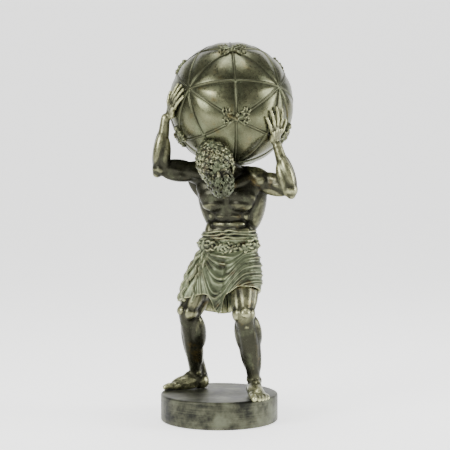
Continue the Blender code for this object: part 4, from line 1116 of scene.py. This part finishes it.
def net_shares(away):
    """How much of cord, groove and crown there is at a distance from the cord's middle."""
    half = sizes().cord_width / 2
    cord = np.sqrt(np.clip(1 - (away / half) ** 2, 0, 1))
    groove = np.exp(-((away - 1.25 * half) / (0.45 * half)) ** 2)
    swell = np.sin(np.pi / 2 * np.clip(away / CROWN_REACH, 0, 1)) ** 1.2
    return cord, groove, swell


class FIGURINE_OT_globe(bpy.types.Operator):
    """Blow up the globe with its crowned panels and its net of raised cords"""

    bl_idname = "figurine.add_globe"
    bl_label = "Add globe"

    def execute(self, context):
        deselect()
        bpy.ops.mesh.primitive_cube_add(size=2.0)
        globe = fresh("globe_skin")
        bpy.ops.object.mode_set(mode="EDIT")
        bpy.ops.mesh.select_all(action="SELECT")
        bpy.ops.mesh.subdivide(number_cuts=1)
        bm = bmesh.from_edit_mesh(globe.data)
        for face in list(bm.faces):
            by_reach = sorted(face.verts, key=lambda vert: vert.co.length)
            bmesh.utils.face_split(face, by_reach[0], by_reach[-1])
        for vert in bm.verts:
            vert.co.normalize()
            vert.co *= globe_radius()
        bmesh.update_edit_mesh(globe.data)
        bpy.ops.mesh.select_all(action="SELECT")
        for step in CORD_STEPS:
            bpy.ops.mesh.inset(thickness=step * sizes().cord_width, use_individual=True,
                use_even_offset=True)
        bpy.ops.mesh.select_all(action="DESELECT")
        bm = bmesh.from_edit_mesh(globe.data)
        short = 0.06 * globe_radius()
        rims = [edge for edge in bm.edges if edge.calc_length() > 2.2 * short]
        bmesh.ops.subdivide_edges(bm, edges=rims, cuts=15, use_grid_fill=True)
        bmesh.ops.triangulate(bm, faces=[face for face in bm.faces if len(face.verts) > 4])
        bmesh.update_edit_mesh(globe.data)
        bpy.ops.object.mode_set(mode="OBJECT")
        points = points_of(globe.data)
        ways = points / np.linalg.norm(points, axis=1)[:, None]
        planes = np.array(net_planes())
        away = np.abs(ways @ planes.T).min(1) * globe_radius()
        set_points(globe.data, ways * net_radius(away)[:, None])
        globe.matrix_world = globe_placing()
        settle(globe)
        cord, groove, swell = net_shares(away)
        set_attribute(globe.data, "fine_relief", 0.075 * cord - 0.12 * groove * (cord < 0.1))
        set_attribute(globe.data, "broad_relief", 2.3 * swell - 0.5)
        return finish(globe, "globe_bronze", "globe")


def bow_masses(normal, up, span, radius, lift):
    """A knotted ribbon laid on the globe: a knot, crumpled loops and short tails."""
    across = up.cross(normal).normalized()
    up = normal.cross(across)
    half = span / 2
    parts = [(0.0, 0.02, 0.20, 0.20, 0.26, 0.0), (0.06, 0.30, 0.17, 0.14, 0.22, 0.6)]
    for side in (1, -1):
        parts.append((side * 0.34, 0.20, 0.34, 0.15, 0.17, side * 0.55))
        parts.append((side * 0.36, -0.22, 0.30, 0.11, 0.14, side * -0.75))
        parts.append((side * 0.60, 0.42, 0.16, 0.14, 0.13, 0.4))
        for petal in range(7):
            angle = tau * petal / 7 + 0.3 * side
            crush = 1 + 0.28 * sin(2.6 * petal + side)
            parts.append((side * (0.60 + 0.22 * crush * cos(angle)),
                0.44 + 0.24 * crush * sin(angle), 0.17, 0.08, 0.16 + 0.05 * crush,
                angle + 0.9 * sin(1.9 * petal + side)))
        for petal in range(5):
            angle = tau * petal / 5 + 0.9 * side
            parts.append((side * (0.66 + 0.15 * cos(angle)), -0.06 + 0.15 * sin(angle), 0.14,
                0.07, 0.17 + 0.03 * sin(3.0 * petal), angle + 0.7 * side))
    masses = []
    for right, rise, long, short, proud, turn in parts:
        middle = normal * radius + across * right * half + up * rise * half
        middle = middle.normalized() * (radius + lift)
        out = middle.normalized()
        along = across * cos(turn) + up * sin(turn)
        along = (along - out * along.dot(out)).normalized()
        masses.append((middle, along * long * half, out.cross(along) * short * half,
            out * proud * half))
    return masses


class FIGURINE_OT_bows(bpy.types.Operator):
    """Lay the knotted bows where three cords of the net cross"""

    bl_idname = "figurine.add_bows"
    bl_label = "Add bows"

    def execute(self, context):
        masses = []
        for knot in net_knots():
            masses.extend(bow_masses(knot, UP, sizes().bow_span, globe_radius(),
                sizes().cord_height))
        bows = put("globe_bows", mesh_of(masses, 3))
        apply_modifier(bows, "REMESH", mode="VOXEL", voxel_size=sizes().curl_grain)
        apply_modifier(bows, "SMOOTH", factor=0.5, iterations=2)
        bows.matrix_world = globe_placing()
        settle(bows)
        return finish(bows, "globe_bronze")


class FIGURINE_OT_body(bpy.types.Operator):
    """Model the man: trunk, legs, arms, hands on the globe, neck and face"""

    bl_idname = "figurine.add_body"
    bl_label = "Add body"

    def execute(self, context):
        masses = lower_body()
        skin = GlobeSkin()
        for name in SIDES:
            add_arm(masses, skin, name)
        add_neck_and_head(masses)
        wrists = {name: wrist_of(skin, name) for name in SIDES}
        # Where wear spares the detail: the place, its radius and the least share of wear
        crisp = [(SKULL.lerp(CHIN, 0.6) + Vector((0, -8, -5)), 16, 0.08),
                 (CHEST + Vector((0, -14, -4)), 24, 0.6)]
        for name in SIDES:
            reach = skin.above(wrists[name] + FINGERS[name].normalized() * 18, 0)
            toes = ANKLE[name] + TOES[name] * 21 - Vector((0, 0, 9))
            crisp += [(reach, 17, 0.08), (toes, 11, 0.08),
                      (ELBOW[name].lerp(wrists[name], 0.5), 18, 0.45),
                      (SHOULDER[name].lerp(ELBOW[name], 0.5), 18, 0.55),
                      (KNEE[name], 20, 0.5)]
        body = cast("man_body", masses, sizes().skin_grain, 20, crisp=crisp)
        # What hands rubbed or where a highlight is painted, or below zero where the wash is
        # darkened into painted shade: the place, its radius and how much
        spots = [(ELBOW["right"].lerp(wrists["right"], 0.6), 20, 0.2),
                 (ELBOW["left"].lerp(wrists["left"], 0.6), 20, 0.2),
                 (wrists["right"], 20, 0.25), (wrists["left"], 20, 0.25),
                 # Painted highlights on his left kneecap and thigh, the kneecap's partly real
                 # rubbing
                 (KNEE["left"] + Vector((0, -9, 1)), 6, 0.4),
                 (KNEE["left"] + Vector((-1, -6, 12)), 5, 0.5),
                 # Below zero: painted shade on the chest under the globe, the throat and the inner
                 # upper arm, partly dark wash; the legs below the knees are only darkened
                 (KNEE["right"] + Vector((-4, -4, -14)), 12, -0.5),
                 (ANKLE["left"] + Vector((3, -20, -8)), 16, 0.5),
                 (ANKLE["right"] + Vector((-18, -4, -8)), 16, 0.35),
                 (CHEST + Vector((-2, -16, 4)), 30, -0.42), (CHIN + Vector((0, 14, 0)), 20, -0.3),
                 (SHOULDER["right"].lerp(ELBOW["right"], 0.45), 22, -0.8),
                 (KNEE["right"].lerp(ANKLE["right"], 0.45), 20, -0.5),
                 (KNEE["left"].lerp(ANKLE["left"], 0.45), 18, -0.35)]
        return finish(body, "figure_bronze", "atlas_figure", spots=spots)


class FIGURINE_OT_loincloth(bpy.types.Operator):
    """Drape the loincloth over the hips in long sweeping folds"""

    bl_idname = "figurine.add_loincloth"
    bl_label = "Add loincloth"

    def execute(self, context):
        cloth = Cloth(lower_body(), 600, 140, sizes().folds, 2.0, 1.5)
        sheet = put("man_loincloth", cloth.sheet())
        scale_up(sheet.data)
        take(sheet)
        bpy.ops.object.mode_set(mode="EDIT")
        bpy.ops.mesh.select_all(action="SELECT")
        bpy.ops.mesh.normals_make_consistent(inside=False)
        bpy.ops.object.mode_set(mode="OBJECT")
        return finish(sheet, "figure_bronze")


class FIGURINE_OT_belt(bpy.types.Operator):
    """Twist the belt round the waist, with its knots and its hanging end"""

    bl_idname = "figurine.add_belt"
    bl_label = "Add belt"

    def execute(self, context):
        body = lower_body()
        cloth = Cloth(body, 220, 56, 6, 2.6, 1.9)
        masses = []
        add_belt(masses, body, cloth)
        add_hanging_end(masses, cloth)
        belt = cast("man_belt", masses, sizes().curl_grain, 2)
        return finish(belt, "figure_bronze")


class FIGURINE_OT_hair(bpy.types.Operator):
    """Curl the hair and the beard"""

    bl_idname = "figurine.add_hair"
    bl_label = "Add hair and beard"

    def execute(self, context):
        hair = cast("man_hair", hair_masses(), sizes().curl_grain, 1, detail=2)
        # Below zero round the jaw: painted shade on the beard and face under the bowed head,
        # partly dark wash
        return finish(hair, "figure_bronze", spots=[(JAW + Vector((2, -6, -2)), 14, -1.1)])


class FIGURINE_OT_stage(bpy.types.Operator):
    """Set the pale sweep, the softboxes and the camera"""

    bl_idname = "figurine.add_stage"
    bl_label = "Add stage"

    def execute(self, context):
        deselect()
        bpy.ops.mesh.primitive_plane_add(size=SWEEP_SIZE)
        sweep = fresh("floor_sweep")
        bm = edit(sweep)
        for edge in bm.edges:
            edge.select = all(vert.co.y > 0.48 * SWEEP_SIZE for vert in edge.verts)
        bmesh.update_edit_mesh(sweep.data)
        bpy.ops.mesh.extrude_region_move(TRANSFORM_OT_translate={"value": (0, 0, SWEEP_HEIGHT)})
        bpy.ops.object.mode_set(mode="OBJECT")
        apply_modifier(sweep, "BEVEL", width=SWEEP_BEND, segments=24, limit_method="ANGLE")
        smooth(sweep)
        paper = bpy.data.materials.new("matt white paper sweep")
        paper.use_nodes = True
        inputs = paper.node_tree.nodes["Principled BSDF"].inputs
        for name, value in (("Base Color", (*colours().floor, 1)), ("Roughness", 0.9),
                ("Emission Color", (1, 1, 1, 1)), ("Emission Strength", 1.35)):
            inputs[name].default_value = value
        sweep.data.materials.append(paper)
        for number, (spot, size, power) in enumerate(SOFTBOXES):
            aim = (Vector(spot) - Vector((0, 0, 0.15))).to_track_quat("Z", "Y")
            bpy.ops.object.light_add(type="AREA", location=spot, rotation=aim.to_euler())
            light = bpy.context.object
            light.name = "softbox_%d" % (number + 1)
            light.data.size, light.data.energy = size, power
        world = bpy.data.worlds.new("studio") if not context.scene.world else context.scene.world
        context.scene.world = world
        world.use_nodes = True
        background = world.node_tree.nodes["Background"].inputs
        background["Color"].default_value = (1, 1, 1, 1)
        background["Strength"].default_value = 0.35
        bpy.ops.object.camera_add(location=CAMERA_PLACE, rotation=(pi / 2 - CAMERA_DIP, 0, 0))
        camera = bpy.context.object
        camera.data.sensor_width, camera.data.lens = 36, CAMERA_LENS
        context.scene.camera = camera
        return {"FINISHED"}


STEPS = (FIGURINE_OT_plinth, FIGURINE_OT_globe, FIGURINE_OT_bows, FIGURINE_OT_body,
    FIGURINE_OT_loincloth, FIGURINE_OT_belt, FIGURINE_OT_hair, FIGURINE_OT_stage)


class FIGURINE_PT_panel(bpy.types.Panel):
    """The figurine's pieces, in the order they are made"""

    bl_idname = "FIGURINE_PT_panel"
    bl_label = "Atlas figurine"
    bl_space_type = "VIEW_3D"
    bl_region_type = "UI"
    bl_category = "Figurine"

    def draw(self, context):
        for group in (context.scene.figurine_sizes, context.scene.figurine_colours):
            for name in group.__annotations__:
                self.layout.prop(group, name)
        for step in STEPS:
            self.layout.operator(step.bl_idname)


CLASSES = (FigurineSizes, FigurineColours) + STEPS + (FIGURINE_PT_panel,)


def register():
    for cls in CLASSES:
        bpy.utils.register_class(cls)
    bpy.types.Scene.figurine_sizes = PointerProperty(type=FigurineSizes)
    bpy.types.Scene.figurine_colours = PointerProperty(type=FigurineColours)


def unregister():
    del bpy.types.Scene.figurine_colours
    del bpy.types.Scene.figurine_sizes
    for cls in reversed(CLASSES):
        bpy.utils.unregister_class(cls)


def main():
    register()
    for step in STEPS:
        getattr(bpy.ops.figurine, step.bl_idname.split(".")[1])()


if __name__ == "__main__":
    main()
